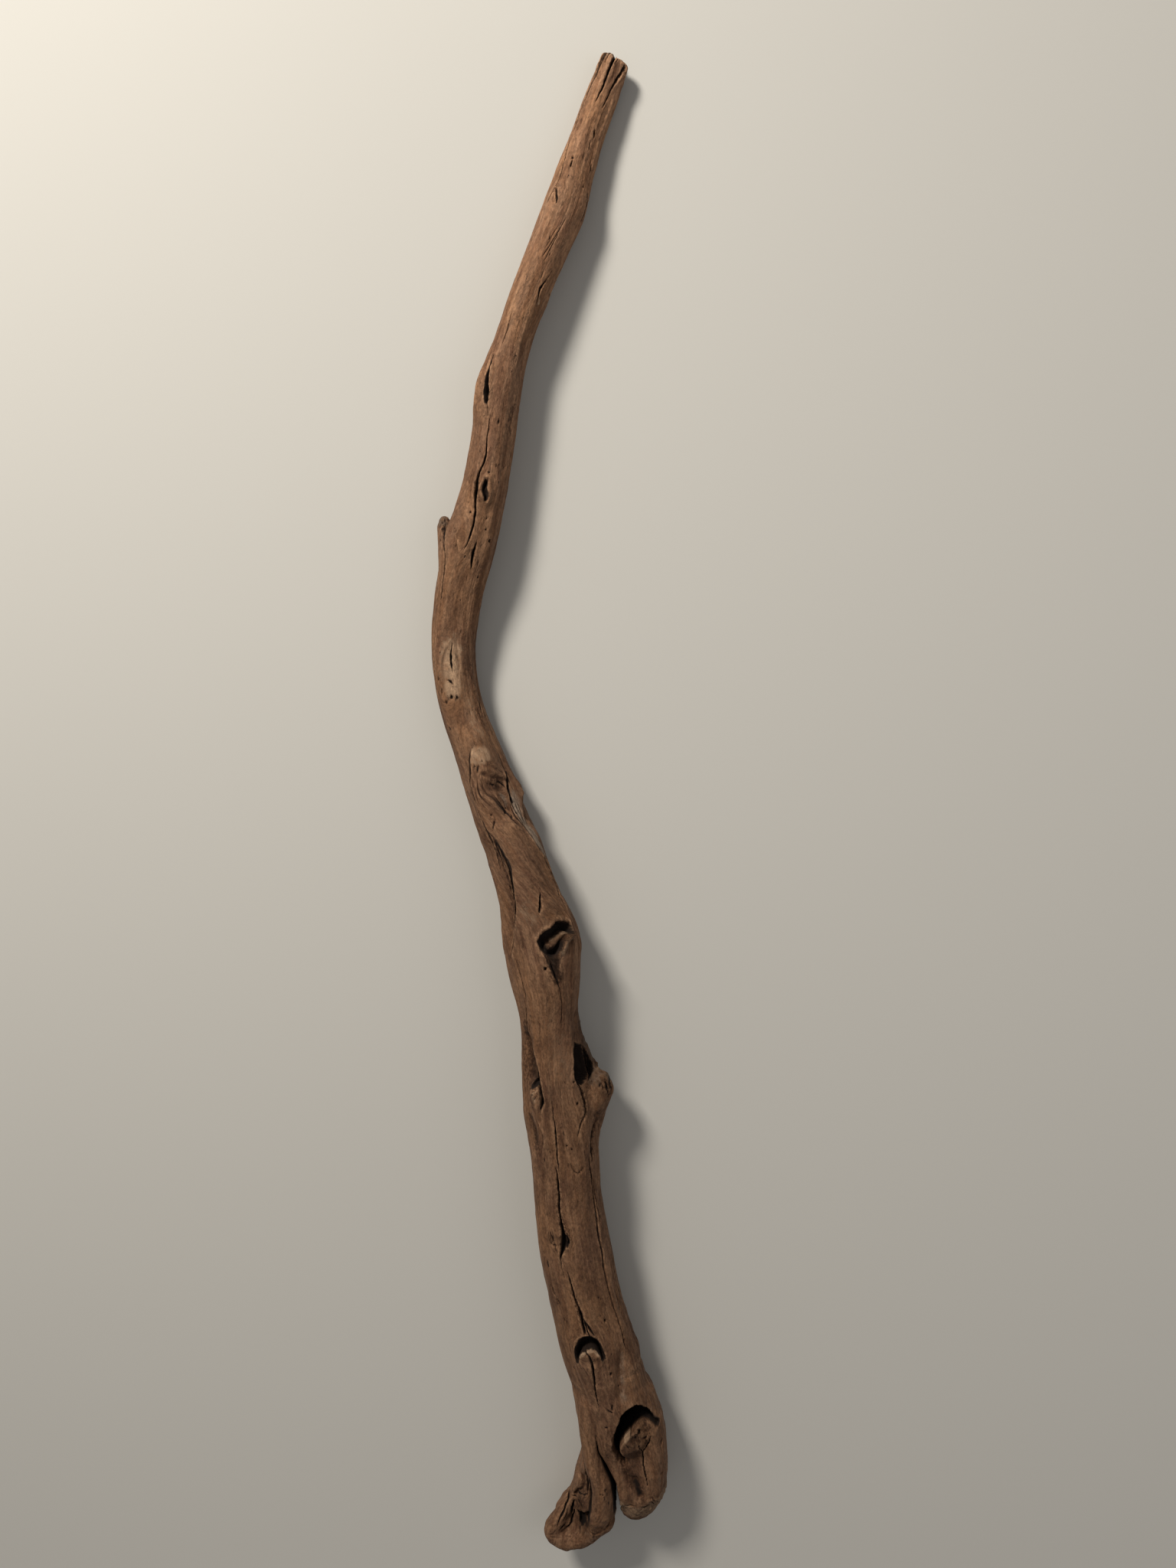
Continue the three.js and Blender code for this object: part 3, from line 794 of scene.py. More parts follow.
def make_mesh(
    name: str, points: np.ndarray, quads: np.ndarray, triangles: np.ndarray | None = None,
) -> bpy.types.Object:
    """Mesh object at the origin from whole arrays.

    Args:
        name: Name of the piece.
        points: Vertices in the wood's own millimetres.
        quads: Faces of four indices.
        triangles: Faces of three indices, if there are any.

    Returns:
        The object, smooth shaded and in the scene.
    """
    extra = np.zeros((0, 3), int) if triangles is None else triangles
    mesh = bpy.data.meshes.new(name)
    mesh.vertices.add(len(points))
    mesh.vertices.foreach_set("co", to_scene(points).astype(np.float32).ravel())
    corners = np.concatenate([quads.ravel(), extra.ravel()])
    starts = np.concatenate([np.arange(len(quads)) * 4, quads.size + np.arange(len(extra)) * 3])
    mesh.loops.add(len(corners))
    mesh.loops.foreach_set("vertex_index", corners.astype(np.int32))
    mesh.polygons.add(len(starts))
    mesh.polygons.foreach_set("loop_start", starts.astype(np.int32))
    mesh.update(calc_edges=True)
    mesh.validate()
    mesh.shade_smooth()
    piece = bpy.data.objects.new(name, mesh)
    bpy.context.scene.collection.objects.link(piece)
    return piece


def store(piece: bpy.types.Object, tones: dict[Tone, np.ndarray], grain: np.ndarray) -> None:
    """Stores the finish values and the grain's own coordinates on a mesh.

    Args:
        piece: The mesh object.
        tones: One array for each tone.
        grain: Depth, side and length within the wood, in millimetres.
    """
    for tone, values in tones.items():
        layer = piece.data.attributes.new(tone.value, "FLOAT", "POINT")
        layer.data.foreach_set("value", np.clip(values, 0.0, 1.0).astype(np.float32).ravel())
    layer = piece.data.attributes.new("grain", "FLOAT_VECTOR", "POINT")
    layer.data.foreach_set("vector", (grain * MM).astype(np.float32).ravel())
    raised = np.clip(0.5 + CREST_GAIN * crests(piece), 0.0, 1.0)
    layer = piece.data.attributes.new(RAISED, "FLOAT", "POINT")
    layer.data.foreach_set("value", raised.astype(np.float32))


def crests(piece: bpy.types.Object) -> np.ndarray:
    """How far each vertex stands out of its surroundings.

    Every pass moves a copy of each vertex half way to the mean of its neighbours. The value is
    the way from the copy to the vertex, measured along its normal.

    Args:
        piece: The mesh object.

    Returns:
        Millimetres, positive on crests and negative in dips.
    """
    mesh = piece.data
    count = len(mesh.vertices)
    pairs = np.zeros(len(mesh.edges) * 2, np.int32)
    mesh.edges.foreach_get("vertices", pairs)
    first, second = pairs.reshape(-1, 2).T
    places = np.zeros(count * 3, np.float32)
    mesh.vertices.foreach_get("co", places)
    normals = np.zeros(count * 3, np.float32)
    mesh.vertex_normals.foreach_get("vector", normals)
    places = places.reshape(-1, 3).astype(float)
    neighbours = np.maximum(np.bincount(pairs, minlength=count), 1)
    calm = places.copy()
    for _ in range(CREST_PASSES):
        for axis in range(3):
            values = calm[:, axis]
            total = np.bincount(first, values[second], count)
            total += np.bincount(second, values[first], count)
            calm[:, axis] = 0.5 * (values + total / neighbours)
    return ((places - calm) * normals.reshape(-1, 3)).sum(-1) / MM


def thin(piece: bpy.types.Object) -> bpy.types.Object:
    """Collapses edges where the surface is calm, until the piece has no more triangles than it may.

    Args:
        piece: The mesh object.

    Returns:
        The same object.
    """
    triangles = MOST_TRIANGLES.get(piece.name, MOST_ON_BRANCH)
    mesh = piece.data
    sides = np.zeros(len(mesh.polygons), np.int32)
    mesh.polygons.foreach_get("loop_total", sides)
    there = int((sides - 2).sum())
    if there <= triangles:
        return piece
    modifier = piece.modifiers.new("thin", "DECIMATE")
    modifier.ratio = triangles / there
    graph = bpy.context.evaluated_depsgraph_get()
    thinned = bpy.data.meshes.new_from_object(piece.evaluated_get(graph))
    piece.modifiers.clear()
    piece.data = thinned
    bpy.data.meshes.remove(mesh)
    thinned.name = piece.name
    thinned.shade_smooth()
    return piece


def dress(piece: bpy.types.Object, material: bpy.types.Material, *nodes: str) -> None:
    """Gives a piece its material, its body and the nodes it stands for.

    Args:
        piece: The mesh object.
        material: Its finish.
        nodes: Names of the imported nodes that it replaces.
    """
    piece.data.materials.clear()
    piece.data.materials.append(material)
    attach(piece, BODY)
    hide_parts(*nodes)
    faces = len(piece.data.polygons)
    log.info("%s: %d faces, for %s", piece.name, faces, ", ".join(nodes))


# The stem


@dataclass(frozen=True)
class Section:
    """Cross-sections of the stem: their middles, directions and half sizes."""

    centre: np.ndarray
    tangent: np.ndarray
    side: np.ndarray
    outward: np.ndarray
    width: np.ndarray
    depth: np.ndarray

    def radius_at(self, side: np.ndarray, outward: np.ndarray) -> np.ndarray:
        """Mean radius of the oval, like these sections, that passes through each offset."""
        return (self.width + self.depth) / 2 * np.hypot(side / self.width, outward / self.depth)


@dataclass
class Stem:
    """The shaft from the fork to the broken tip: oval sections on a smooth line, with relief.

    stations holds along, across, half width, half depth and lift. spiral holds along and the
    degrees by which the grain has wound round the stem there.
    """

    stations: Rows = (
        (150, 56.5, 45, 42, 3), (200, 44.5, 44, 43, 5), (255, 26.5, 45.5, 43, 8),
        (320, 9, 43, 42, 11), (390, -6, 43, 41, 13), (450, -15, 40, 39, 14),
        (500, -19, 40.5, 40, 15), (560, -28, 41, 40, 16), (620, -35.5, 37, 38, 18),
        (670, -41.5, 34, 37, 18), (715, -46, 40.5, 39, 17), (755, -52.5, 44.5, 39, 15),
        (810, -69.5, 35.5, 36, 13), (870, -90, 33, 33, 10), (930, -113.5, 29.5, 30, 6),
        (980, -136.5, 26.5, 27, 3), (1030, -155.5, 25, 25.5, 0), (1080, -164, 25, 25, -1),
        (1150, -159, 27, 26, 2), (1215, -144, 29, 27, 7), (1270, -129.5, 26, 26, 10),
        (1330, -119.5, 24.5, 24, 12), (1385, -113, 25, 24, 12), (1435, -99.5, 21, 22, 11),
        (1480, -84, 21.5, 23, 9), (1535, -62.5, 22.5, 23, 6), (1575, -47, 23.5, 22, 4),
        (1610, -37, 21.5, 20, 2), (1660, -21.5, 18, 17.5, 0), (1704, -6, 17.5, 16, -1),
        (1745, 8, 13.5, 13, 2),
    )
    spiral: Rows = (
        (100, 0), (560, 0), (700, -6), (780, 0), (850, 45), (930, 80), (1000, 88), (1200, 84), (1745, 92),
    )
    knots: Sequence[Knot] = (
        Knot(1578, -25, 6), Knot(1385, -46, 11, 1.5), Knot(1273, 12, 8, 1.9), Knot(1222, -40, 12, 1.2),
        Knot(1216, -12, 7), Knot(932, 26, 13, 1.2), Knot(757, 36, 15, 1.3), Knot(592, -34, 9, 1.4),
        Knot(545, -50, 8, 1.6), Knot(590, 62, 18, 1.4), Knot(414, -8, 6, 2.0), Knot(284, -5, 14, 1.2),
        Knot(1050, -20, 12, 2.4), Knot(560, -135, 13, 1.5), Knot(830, 165, 14, 1.5),
        Knot(1490, 140, 8, 1.8),
    )
    skin_start: float = 165.0
    start: float = 226.0
    join: float = 233.0
    tip: float = 1745.0
    rounding: float = 8.0
    edge_calm: float = 22.0
    sink: float = 1.2
    row_step: float = 1.6
    columns: int = 300
    seed: int = 11
    drift_along: Ripple = Ripple(1.6, 9, 14)  # moves the paths of the forms
    drift_across: Ripple = Ripple(0.9, 7, 16, 3, 31)
    fine_drift: Ripple = Ripple(0.2, 2.4, 4.5)
    torn: Ripple = Ripple(1, 3.5, 5, 2, 60)  # makes edges ragged
    flutes: Ripple = Ripple(0.75, 8, 150)
    ribs: Ripple = Ripple(0.32, 2.6, 45)
    dents: Ripple = Ripple(0.45, 10, 18, 3, 50)
    nicks: Ripple = Ripple(1.3, 3, 9, 2, 9)
    nick_floor: float = 0.715  # only where the nicks' noise is above this
    lumps: Ripple = Ripple(0.9, 3.2, 5, 3)
    calm_at_edges: float = 0.85  # share of the swells that goes at the left and right edges

    def __post_init__(self) -> None:
        """Fills a table of sections, one for each millimetre."""
        table = np.array(self.stations, float)
        along, across, width, depth, lift = table.T
        rail = Rail(along, np.stack([across, along, depth + lift, width, depth], axis=-1))
        self.table_along = np.arange(along[0], along[-1] + 1.0)
        rows = rail.at(self.table_along)
        delta = 0.5
        before = rail.at(self.table_along - delta)[:, :3]
        after = rail.at(self.table_along + delta)[:, :3]
        tangent = unit(after - before)
        side = unit(np.cross(tangent, [0.0, 0.0, 1.0]))
        self.table = np.hstack([rows[:, :3], tangent, side, np.cross(side, tangent), rows[:, 3:]])
        self.noise = Lattice(self.seed)

    def sections(self, along: np.ndarray) -> Section:
        """Sections at the given places, read from the table.

        Args:
            along: Places along the stem.

        Returns:
            The sections.
        """
        columns = np.stack(
            [np.interp(along, self.table_along, column) for column in self.table.T], axis=-1
        )
        return Section(
            columns[..., 0:3], columns[..., 3:6], columns[..., 6:9], columns[..., 9:12],
            columns[..., 12], columns[..., 13],
        )

    def locate(
        self, points: np.ndarray
    ) -> tuple[np.ndarray, Section, np.ndarray, np.ndarray, np.ndarray]:
        """Place of any points within the stem.

        A point's section is found by stepping along the line until the point lies square to it.

        Args:
            points: Positions in millimetres.

        Returns:
            Along, the sections there, and the offsets to the side, outward and past the ends.
        """
        along = np.clip(points[:, 1].astype(float), self.skin_start, self.tip)
        for _ in range(3):
            section = self.sections(along)
            past = ((points - section.centre) * section.tangent).sum(-1)
            along = np.clip(along + past * section.tangent[:, 1], self.skin_start, self.tip)
        section = self.sections(along)
        offset = points - section.centre
        return (
            along, section, (offset * section.side).sum(-1), (offset * section.outward).sum(-1),
            (offset * section.tangent).sum(-1),
        )

    def surface(self, points: np.ndarray) -> tuple[Skin, np.ndarray]:
        """The skin and the grain at any points near it.

        Args:
            points: Positions in millimetres.

        Returns:
            The skin, and the grain's coordinates.
        """
        along, section, side, outward, _ = self.locate(points)
        across = np.degrees(np.arctan2(side / section.width, outward / section.depth))
        radius = section.radius_at(side, outward)
        return self.skin(along, across), self.grain(along, across, radius)

    def skin(self, along: np.ndarray, across: np.ndarray) -> Skin:
        """Unrolled skin at the given places, with every form pressed into it.

        Args:
            along: Flat array of places along the stem.
            across: Flat array of degrees from the top, positive to the right.

        Returns:
            The skin with its heights and tones.
        """
        section_width = np.interp(along, self.table_along, self.table[:, 12])
        section_depth = np.interp(along, self.table_along, self.table[:, 13])
        radius = (section_width + section_depth) / 2
        angle = across * DEGREE
        x, y = radius * np.cos(angle), radius * np.sin(angle)
        drift_along, drift_across, fine_drift, torn = (
            ripple.over(self.noise, x, y, along)
            for ripple in (self.drift_along, self.drift_across, self.fine_drift, self.torn)
        )
        skin = Skin(along, across, radius, (drift_along, drift_across + fine_drift), torn)
        calm = np.exp(-(((np.abs(across) - 90.0) / self.edge_calm) ** 2))
        weight = 1.0 - self.calm_at_edges * calm
        lobes = 0.035 * np.sin(3 * angle + along * 0.009) + 0.02 * np.sin(5 * angle - along * 0.014)
        skin.height += radius * lobes * weight
        for form in STEM_FORMS:
            if isinstance(form, Swell):
                form.press(skin, weight)
            else:
                form.press(skin)
        self.roughen(skin)
        return skin

    def roughen(self, skin: Skin) -> None:
        """Adds the long flutes, ribs and dents that weather has left.

        Args:
            skin: Points to shape.
        """
        place = self.grain(skin.along, skin.across, skin.radius).T
        flutes, ribs, dents, nicks, lumps = (
            ripple.over(self.noise, *place)
            for ripple in (self.flutes, self.ribs, self.dents, self.nicks, self.lumps)
        )
        shut = 1.0 - skin.tones[Tone.CRACK_SHADE]
        fine = ribs + dents - np.maximum(nicks - self.nick_floor, 0.0)
        skin.height += (flutes + fine * shut + lumps * skin.tones[Tone.ROUGH]).astype(np.float32)

    def grain(self, along: np.ndarray, across: np.ndarray, radius: np.ndarray) -> np.ndarray:
        """Where a point lies within the wood's grain, which winds round and parts at knots.

        Round a knot the grain is shifted sideways as water is round a post: by radius squared
        over distance squared.

        Args:
            along: Places along the stem.
            across: Degrees from the top.
            radius: Distance from the stem's middle.

        Returns:
            Depth, side and length, in millimetres, as columns.
        """
        winding = np.array(self.spiral, float)
        shift = np.zeros_like(along, dtype=float)
        for knot in self.knots:
            from_along = (along - knot.along) / knot.stretch
            from_across = turn_between(knot.across, across) * DEGREE * radius
            gap = from_along**2 + from_across**2
            pull = knot.radius**2 / (gap + 0.35 * knot.radius**2)
            shift -= from_across * pull * np.exp(-gap / (5.0 * knot.radius) ** 2)
        turned = (across + np.interp(along, winding[:, 0], winding[:, 1])) * DEGREE + shift / radius
        return np.stack([radius * np.cos(turned), radius * np.sin(turned), along], axis=-1)

    def field(self, points: np.ndarray, detail: float) -> np.ndarray:
        """Distance of any points from the stem's skin, negative inside.

        Args:
            points: Positions in millimetres.
            detail: Relief is worked out within this distance of the plain section.

        Returns:
            The distance.
        """
        along, section, side, outward, past = self.locate(points)
        end = np.minimum(section.width, section.depth)
        plain = oval_distance((side, outward, past), (section.width, section.depth, end))
        close = np.nonzero(np.abs(plain) < detail)[0]
        side = side[close] / section.width[close]
        outward = outward[close] / section.depth[close]
        skin = self.skin(along[close], np.degrees(np.arctan2(side, outward)))
        plain[close] -= skin.height
        return plain

    def end_of(self, across: np.ndarray) -> np.ndarray:
        """Where the broken tip ends, which differs round the stem."""
        angle = across * DEGREE
        splinters = self.noise.layered(2.2 * np.cos(angle) + 5, 2.2 * np.sin(angle), 0 * angle, 3)
        return self.tip - 3.5 + 4.0 * np.clip(splinters, -1.4, 0.8)

    def build(self, fineness: float) -> bpy.types.Object:
        """Builds the stem's mesh: a grid of rings, closed with a fan over each end.


        Returns:
            The object.
        """
        calm_end = self.tip - 70.0
        long_rows = int((calm_end - self.start) / self.row_step * fineness)
        share = np.concatenate([
            np.linspace(0.0, 1.0, long_rows, endpoint=False) * (calm_end - self.start),
            (calm_end - self.start) + np.linspace(0.0, 1.0, 60) ** 0.8 * (self.tip - calm_end),
        ])
        columns = int(self.columns * fineness)
        spread = np.linspace(-1.0, 1.0, columns, endpoint=False)
        front_crowding = 0.25
        across = 180.0 * (spread - front_crowding * np.sin(math.pi * spread) / math.pi)
        along = self.start + np.repeat(share[:, None], columns, axis=1)
        end = self.end_of(across)[None, :]
        near_end = ease(calm_end, self.tip, along)
        along = along + (end - self.tip) * near_end
        flat_along = along.ravel()
        flat_across = np.tile(across, len(share))
        skin = self.skin(flat_along, flat_across)
        to_end = np.maximum(0.0, flat_along - (np.tile(end[0], len(share)) - self.rounding))
        taper = np.sqrt(np.maximum(0.0, 1.0 - (to_end / self.rounding) ** 3.0))
        settle = (float(end.mean()) - 1.5 - flat_along) * (1.0 - taper) ** 2
        section = self.sections(flat_along + settle)
        sunk = self.sink * (1.0 - ease(self.start, self.join, flat_along))
        rise = skin.height - sunk
        half_width = np.maximum(section.width + rise, 2.0) * taper
        half_depth = np.maximum(section.depth + rise, 2.0) * taper
        angle = flat_across * DEGREE
        points = section.centre + section.side * (half_width * np.sin(angle))[:, None]
        points = points + section.outward * (half_depth * np.cos(angle))[:, None]
        points[:, 2] = np.maximum(points[:, 2], 0.0)
        grain = self.grain(flat_along, flat_across, skin.radius + skin.height)
        rings = len(share)
        index = np.arange(rings * columns).reshape(rings, columns)
        beside = np.roll(index, -1, axis=1)
        quads = np.stack([index[:-1], beside[:-1], beside[1:], index[1:]], axis=-1).reshape(-1, 4)
        hubs = np.stack([points[:columns].mean(0), points[-columns:].mean(0)])
        first = np.full(columns, rings * columns)
        fans = np.concatenate([
            np.stack([first, beside[0], index[0]], axis=-1),
            np.stack([first + 1, index[-1], beside[-1]], axis=-1),
        ])
        piece = make_mesh("driftwood_stem", np.vstack([points, hubs]), quads, fans)
        ends = [0, rings * columns - 1]
        tones = {tone: np.append(values, values[ends]) for tone, values in skin.tones.items()}
        store(piece, tones, np.vstack([grain, grain[ends]]))
        return piece


# Forms of the stem, from the tip down. Points are along and across in degrees.
STEM_FORMS: tuple[Form, ...] = (
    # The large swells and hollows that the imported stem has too
    Swell([(1582, -24)], 14, 2.5),
    Swell([(1585, 75)], 16, 2),
    Swell([(1385, -50), (1362, -45)], 15, 3.5),
    Swell([(1273, 14)], 12, 2),
    Swell([(1215, -15)], 18, 2.5),
    Swell([(985, 15), (950, 5), (920, -5), (880, 10), (840, 25), (800, 40)], 16, 6),
    Swell([(870, -46), (830, -38), (790, -50), (750, -70)], 14, -4),
    Swell([(930, 30), (908, 26)], 13, -6),
    Swell([(945, 80), (910, 75), (890, 68)], 14, -6),
    Swell([(890, 40), (846, 76), (808, 95)], 9, 3),
    Swell([(735, 5), (700, 5), (650, 0), (610, 5)], 18, 3.5),
    Swell([(640, -56), (605, -50), (540, -58)], 13, -4.5),
    Swell([(591, -36)], 9, 4),
    Swell([(645, 88), (605, 72)], 14, -6),
    Swell([(450, 20), (380, 15), (330, 20)], 20, 2),
    Swell([(262, -8)], 15, 3),
    Swell([(250, 38), (215, 25)], 10, -3),
    Swell([(246, 92)], 14, 2.5, True),
    Swell([(1650, 150), (1500, 140)], 9, -3),
    Swell([(1250, 150), (1100, 130), (950, 150)], 12, -4),
    Swell([(830, 165)], 22, 4),
    Swell([(700, -160), (500, 175), (300, -165)], 15, -5),
    Swell([(560, -135)], 18, 5),
    Swell([(430, 130), (330, 140)], 14, -5),
    # Broken tip
    Crack([(1750, -38, 6.5, 9), (1736, -40, 6, 8), (1722, -44, 4.4, 7), (1700, -49, 3, 6),
        (1670, -52, 2.4, 5), (1637, -48, 2.2, 4), (1618, -38, 1.9, 3), (1602, -30, 1.6, 2.5), (1590, -28)],
        0.5),
    Crack([(1750, 9, 3.6, 9), (1735, 8, 3.2, 8), (1725, 4, 2.8, 7), (1712, 4, 2.2, 5), (1699, 2, 1.8, 3),
        (1687, -3)], 0.6),
    Crack([(1750, 70, 4, 9), (1733, 64, 3.6, 8), (1719, 46, 3, 7), (1709, 36, 2.4, 5), (1698, 31, 1.8, 3),
        (1684, 26)], 0.6),
    Crack([(1750, 28, 2, 4), (1740, 24, 1.6, 2.5), (1731, 20)]),
    Crack([(1750, -18, 2, 4), (1740, -20, 1.6, 2.5), (1728, -22)]),
    Swell([(1732, 82), (1722, 80)], 6, 2, True),
    Swell([(1745, 92), (1739, 92)], 4, -2.5, True),
    silver([(1742, -60), (1738, -30), (1742, 10)], 6, 0.6),
    Crack([(1750, -128, 6, 10), (1690, -140, 4, 6), (1650, -145)]),
    Crack([(1750, 118, 6, 10), (1700, 128, 4, 7), (1660, 132)]),
    Crack([(1750, 170, 6, 9), (1712, 172, 3, 5), (1680, 176)]),
    *pits((1657, 32, 8, 2.2, 4, -0.2), (1645, 28, 7, 1.8, 3, -0.1), (1626, -12, 3.5, 3, 3),
        (1620, -9, 9, 2, 3.5), (1602, 48, 3, 2.4, 2.5), (1624, 58, 6, 1.8, 2, -0.2)),
    stain_and_shade([(1596, 72), (1578, 76)], 6),
    # Small knot under the long fissure
    Crack([(1588, -28, 1.2, 1.5), (1581, -36, 2.2, 3.5), (1574, -43, 1.6, 2)], 0.4),
    Crack([(1588, -24, 1.4, 1.5), (1582, -15, 2.2, 3.5), (1574, -11, 1.4, 2)], 0.4),
    stain_and_shade([(1592, -27), (1586, -26)], 4, 0.9),
    silver([(1580, -26)], 5, 0.4),
    bleach_and_highlight([(1596, -40), (1572, -48)], 6, 0.5),
    Crack([(1590, 74, 2, 3), (1580, 77, 2.4, 3), (1566, 73)]),
    Crack([(1564, 25, 0.8, 0.6), (1550, 21, 1.1, 1.2), (1534, 15, 1.1, 1.2), (1520, 6, 0.8, 0.6)]),
    Crack([(1548, 24, 0.8, 0.6), (1531, 19, 1.1, 1.2), (1518, 16, 0.8, 0.6)]),
    Crack([(1556, 14, 0.8, 0.4), (1540, 9, 1, 0.8), (1528, 4, 0.8, 0.4)]),
    Crack([(1513, 48, 0.8, 0.8), (1501, 41, 1.3, 1.6), (1495, 35, 2.4, 4), (1488, 37, 2.4, 4.5),
        (1479, 42, 1, 1.5)]),
    bleach_and_highlight([(1483, 47), (1479, 50)], 2.4, 0.8),
    stain_and_shade([(1550, 40), (1535, 44)], 8, 0.45),
    *pits((1540, 5, 4, 1.8, 2), (1526, 23, 3, 2, 2)),
    Crack([(1460, -20, 0.8, 0.8), (1440, -17, 1.4, 1.6), (1424, -19, 0.8, 0.8)]),
    # Left knot with its slit
    Ledge([(1356, -28, 1), (1372, -30, 2.4), (1392, -34, 2), (1410, -44, 0.6)], 12, 3, 0.25),
    Cavity([(1412, -33), (1396, -25), (1380, -17), (1366, -15), (1363, -19), (1372, -25), (1390, -28)],
        8, 2.2),
    Crack([(1366, -18, 1.2, 2), (1352, -12)]),
    # Long crack and the oval knot beside it
    Crack([(1352, -4, 0.8, 0.8), (1328, -6, 1.6, 3), (1304, -4, 2, 4), (1290, -10, 2.6, 5),
        (1283, -13, 3.4, 7), (1270, -10, 3.6, 8), (1258, -4, 2.8, 6), (1249, 2, 2.4, 6), (1233, 4, 2.4, 5),
        (1220, 3, 1.6, 3), (1209, 1)]),
    Ledge([(1258, 0, 0.5), (1268, -4, 1.6), (1280, -3, 1.4), (1290, 4, 0.4)], 8, 1.6, 0.5),
    Cavity([(1285, 7), (1279, 3), (1271, 5), (1265, 11), (1262, 19), (1267, 22), (1275, 17), (1283, 14)],
        3.4, 2, 0.8, 0.9),
    *pits((1277, 10, 14, 3.4, 4.5, 0.35), (1263, 17, 6, 3.2, 5), (1291, 13, 2.5, 2, 2),
        (1299, 28, 2.5, 2, 2), (1246, -9, 3, 2.2, 2.5), (1244, 32, 2.6, 2, 2), (1233, 36, 3.4, 2.8, 3),
        (1222, 51, 3.4, 2.8, 3), (1182, 47, 3, 2.2, 2.5), (1346, 18, 5, 1.8, 2), (1311, -22, 3, 1.8, 1.5)),
    stain_and_shade([(1365, 56), (1350, 47), (1336, 52)], 5, 0.9),
    stain_and_shade([(1299, 29), (1302, 58)], 4, 0.8),
    Crack([(1218, 22, 1.2, 1), (1211, 21, 3.2, 6), (1202, 21, 4, 8), (1196, 23, 3, 6), (1190, 25)]),
    # Swirl and crack beside the stub
    Crack([(1231, -76, 2.2, 4), (1222, -74, 3, 6), (1208, -64, 3.6, 6), (1197, -48, 2.4, 4),
        (1181, -40, 2.8, 5), (1160, -36, 2, 3), (1140, -34)]),
    *pits((1208, -62, 6, 3.6, 6), (1181, -40, 6, 3, 4)),
    Ledge([(1196, -6, 0.4), (1206, -12, 1.4), (1214, -22, 1.6), (1226, -30, 0.8)], 9, 2.2, 0.35),
    Ledge([(1190, 0, 0.3), (1204, 2, 1), (1218, -4, 1.2), (1232, -14, 0.5)], 9, 2.2, 0.3),
    Crack([(1228, -48, 0.8, 0.6), (1224, -30, 1.2, 1.2), (1216, -18, 1.2, 1.2), (1206, -20, 0.8, 0.6)]),
    # Pale scar above the bend
    Swell([(1090, 8), (1050, 0)], 13, 1.2),
    bleach_and_highlight([(1098, 8), (1080, 4), (1062, 3), (1046, 0)], 13),
    bleach_and_highlight([(1104, 9), (1114, 10)], 4, 0.7),
    Ledge([(1046, 16, 0.8), (1063, 21, 1.4), (1078, 26, 1.2), (1094, 20, 0.6), (1106, 12, 0.2)],
        7, 2, 0.35),
    Ledge([(1060, -24, -0.6), (1080, -20, -1.4), (1096, -8, -1), (1107, 6, -0.3)], 7, 2, 0.45),
    Crack([(1102, 6, 0.9, 0.8), (1092, 4, 2, 2.5), (1080, 3, 2.6, 3.2), (1068, 6)]),
    *pits((1061, -38, 5, 3.2, 3.5, 0.3), (1056, -5, 6, 4, 3.5, -0.6), (1046, -33, 8, 1.8, 2.5, 0.3),
        (1039, -9, 4, 3.6, 3), (1037, 6, 5, 3.4, 3), (1034, -26, 4, 2.6, 2)),
    stain_and_shade([(1040, -30), (1036, 6)], 4, 0.8),
    bleach_and_highlight([(1052, -8), (1040, 2)], 8, 0.5),
    Crack([(1112, -62, 1.2, 1.5), (1086, -60, 2, 3), (1060, -64, 2.4, 4), (1040, -60, 2.4, 4),
        (1020, -50, 1.4, 2), (1008, -44)]),
    Crack([(1026, 70, 1.4, 2), (1018, 68, 2.2, 3), (1010, 66)]),
    stain_and_shade([(1018, 52), (1008, 56), (1000, 50)], 5),
    stain_and_shade([(1080, 60), (1040, 62)], 5, 0.7),
    stain_and_shade([(1120, 36), (1060, 40)], 3.5, 0.6),
    bleach_and_highlight([(1030, 40), (1000, 30), (985, 38)], 9, 0.5),
    # Hood of the twist
    Ledge([(846, -33, 0.4), (866, -31, 1.2), (882, -28, 1.8), (902, -31, 2), (920, -33, 2.4),
        (935, -31, 2.8), (949, -25, 3.2), (961, -15, 3), (970, -6, 2.2), (976, 4, 1)], 12, 2.2, 0.9),
    Crack([(975, -2, 0.8, 0.8), (966, -12, 1.8, 2), (953, -24, 2.2, 3), (938, -34, 2.2, 3.5),
        (920, -37, 2.4, 3.5), (902, -36, 2.6, 4), (886, -34, 3.2, 4.5), (872, -34, 4.2, 5),
        (860, -36, 3.4, 4), (846, -38, 1.4, 1)], 0.1),
    Ledge([(976, 4, 0.6), (977, 16, 1.2), (974, 32, 1.2), (966, 50, 0.8)], 10, 8, 0),
    Ledge([(960, 62, 0.6), (953, 66, 1.2), (947, 67, 1.8), (940, 63, 2.4), (934, 57, 3), (928, 51, 3),
        (923, 47, 2.6), (914, 44, 1.6), (904, 40, 0.6)], 12, 1.8, 1),
    Cavity([(944, 74), (934, 68), (925, 59), (917, 54), (910, 50), (914, 44), (923, 47), (933, 56),
        (941, 65)], 5, 1.8, 1, 0.2),
    Crack([(962, 70, 0.8, 0.8), (950, 71, 1.8, 3), (938, 67, 2.6, 4)], 0.1),
    # Grain that swirls round the hood's inner hollow
    Swell([(934, 12), (932, 28), (931, 42)], 7, -3.5),
    Swell([(924, 24), (912, 31)], 7, -2),
    Crack([(939, -18, 0.8, 0.4), (930, -24, 1.4, 1.2), (919, -25, 0.8, 0.4)], 0.5),
    Crack([(948, -8, 0.9, 0.6), (938, -14, 1.7, 1.6), (927, -14, 1.7, 1.6), (914, -3, 0.9, 0.5)], 0.5),
